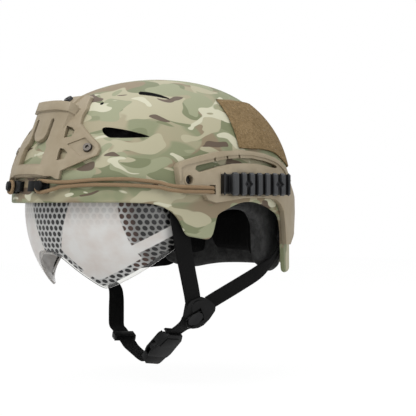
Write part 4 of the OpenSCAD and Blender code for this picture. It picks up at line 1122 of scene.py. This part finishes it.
class HELMET_OT_stage(bpy.types.Operator):
    """Pale floor, soft lamps and the camera"""

    bl_idname = "helmet.stage"
    bl_label = "Stage"

    def lamp(self, name, at, target, size, power):
        data = bpy.data.lights.new(name, "AREA")
        data.shape, data.size, data.energy = "DISK", size, power
        lamp = bpy.data.objects.new(name, data)
        bpy.context.scene.collection.objects.link(lamp)
        aim = np.array(target, float) - np.array(at, float)
        lamp.location = at
        lamp.rotation_euler = pointing(aim)

    def execute(self, context):
        scene = bpy.context.scene
        scene.view_settings.view_transform = "Standard"
        group = scene.helmet_sizes
        turn, far = group.camera_turn, group.camera_far
        towards = np.array([math.sin(turn), -math.cos(turn), 0.0])
        aim = AIM * MM
        data = bpy.data.cameras.new("camera")
        data.sensor_width, data.lens = SENSOR, FOCAL
        data.clip_start, data.clip_end = 0.05, 20.0
        camera = bpy.data.objects.new("camera", data)
        scene.collection.objects.link(camera)
        camera.location = aim + towards * far
        camera.rotation_euler = (math.pi / 2, 0.0, turn)
        scene.camera = camera

        white = Finish("pale_floor", colours()["floor"], 0.9)
        glow = white.add("Emission", {"Color": (1, 1, 1, 1), "Strength": 1.03}).outputs[0]
        share = white.times(white.seen(), 0.93)
        white.surface(white.add("MixShader", {0: share, 1: white.shader.outputs[0], 2: glow}))
        # low enough for the buckle's tongue when it is drawn out
        floor_z = min(CAD_BOX[0][2] / MM, DEEPEST) - FLOOR_GAP
        x, y = np.meshgrid((-2500, 0, 2500), (-2500, 0, 2500), indexing="ij")
        floor = mesh_from("floor", [np.stack([x, y, np.full(x.shape, floor_z)], -1)], weld=False)
        floor.data.materials.append(white.material)

        scene.world = bpy.data.worlds.new("soft_room")
        scene.world.use_nodes = True
        sky = Graph(scene.world.node_tree)
        strength = sky.plus(sky.times(sky.seen(), 0.45), 0.55)
        ground = sky.add("Background", {"Color": (1, 1, 1, 1), "Strength": strength})
        sky.add("OutputWorld", {"Surface": ground.outputs[0]})

        side = np.array([math.cos(turn), math.sin(turn), 0.0])
        up = np.array([0, 0, 1.0])
        self.lamp("key", aim + towards * 1.1 - side * 0.7 + up * 1.3, aim, 0.9, 16)
        self.lamp("fill", aim + towards * 1.2 + side * 1.2 + up * 0.3, aim, 1.2, 7)
        self.lamp("top", aim - towards * 0.3 + up * 1.6, aim, 1.2, 9)
        return {"FINISHED"}


def pointing(aim):
    """Euler turn that points a lamp's -Z along a direction."""
    aim = aim / np.linalg.norm(aim)
    return (math.acos(-aim[2]), 0.0, math.atan2(aim[0], -aim[1]) + math.pi)


class HELMET_PT_panel(bpy.types.Panel):
    """Lists the helmet's sizes, colours and steps"""

    bl_label = "Rail Helmet"
    bl_idname = "HELMET_PT_panel"
    bl_space_type = "VIEW_3D"
    bl_region_type = "UI"
    bl_category = "Helmet"

    def draw(self, context):
        column = self.layout.column()
        for name in HELMET_PG_sizes.__annotations__:
            column.prop(context.scene.helmet_sizes, name)
        for name in HELMET_PG_colours.__annotations__:
            column.prop(context.scene.helmet_colours, name)
        for step_class in STEPS:
            column.operator(step_class.bl_idname)


STEPS = [
    HELMET_OT_shell, HELMET_OT_patch, HELMET_OT_lens, HELMET_OT_liner, HELMET_OT_pads, HELMET_OT_straps,
    HELMET_OT_cords, HELMET_OT_moulded, HELMET_OT_fasteners, HELMET_OT_stage,
]
CLASSES = [HELMET_PG_sizes, HELMET_PG_colours] + STEPS + [HELMET_PT_panel]


def register():
    for item in CLASSES:
        bpy.utils.register_class(item)
    bpy.types.Scene.helmet_sizes = bpy.props.PointerProperty(type=HELMET_PG_sizes)
    bpy.types.Scene.helmet_colours = bpy.props.PointerProperty(type=HELMET_PG_colours)


def unregister():
    del bpy.types.Scene.helmet_colours
    del bpy.types.Scene.helmet_sizes
    for item in reversed(CLASSES):
        bpy.utils.unregister_class(item)


def main():
    """Builds every piece in order."""
    register()
    for step_class in STEPS:
        group, name = step_class.bl_idname.split(".")
        getattr(getattr(bpy.ops, group), name)()


if __name__ == "__main__":
    main()
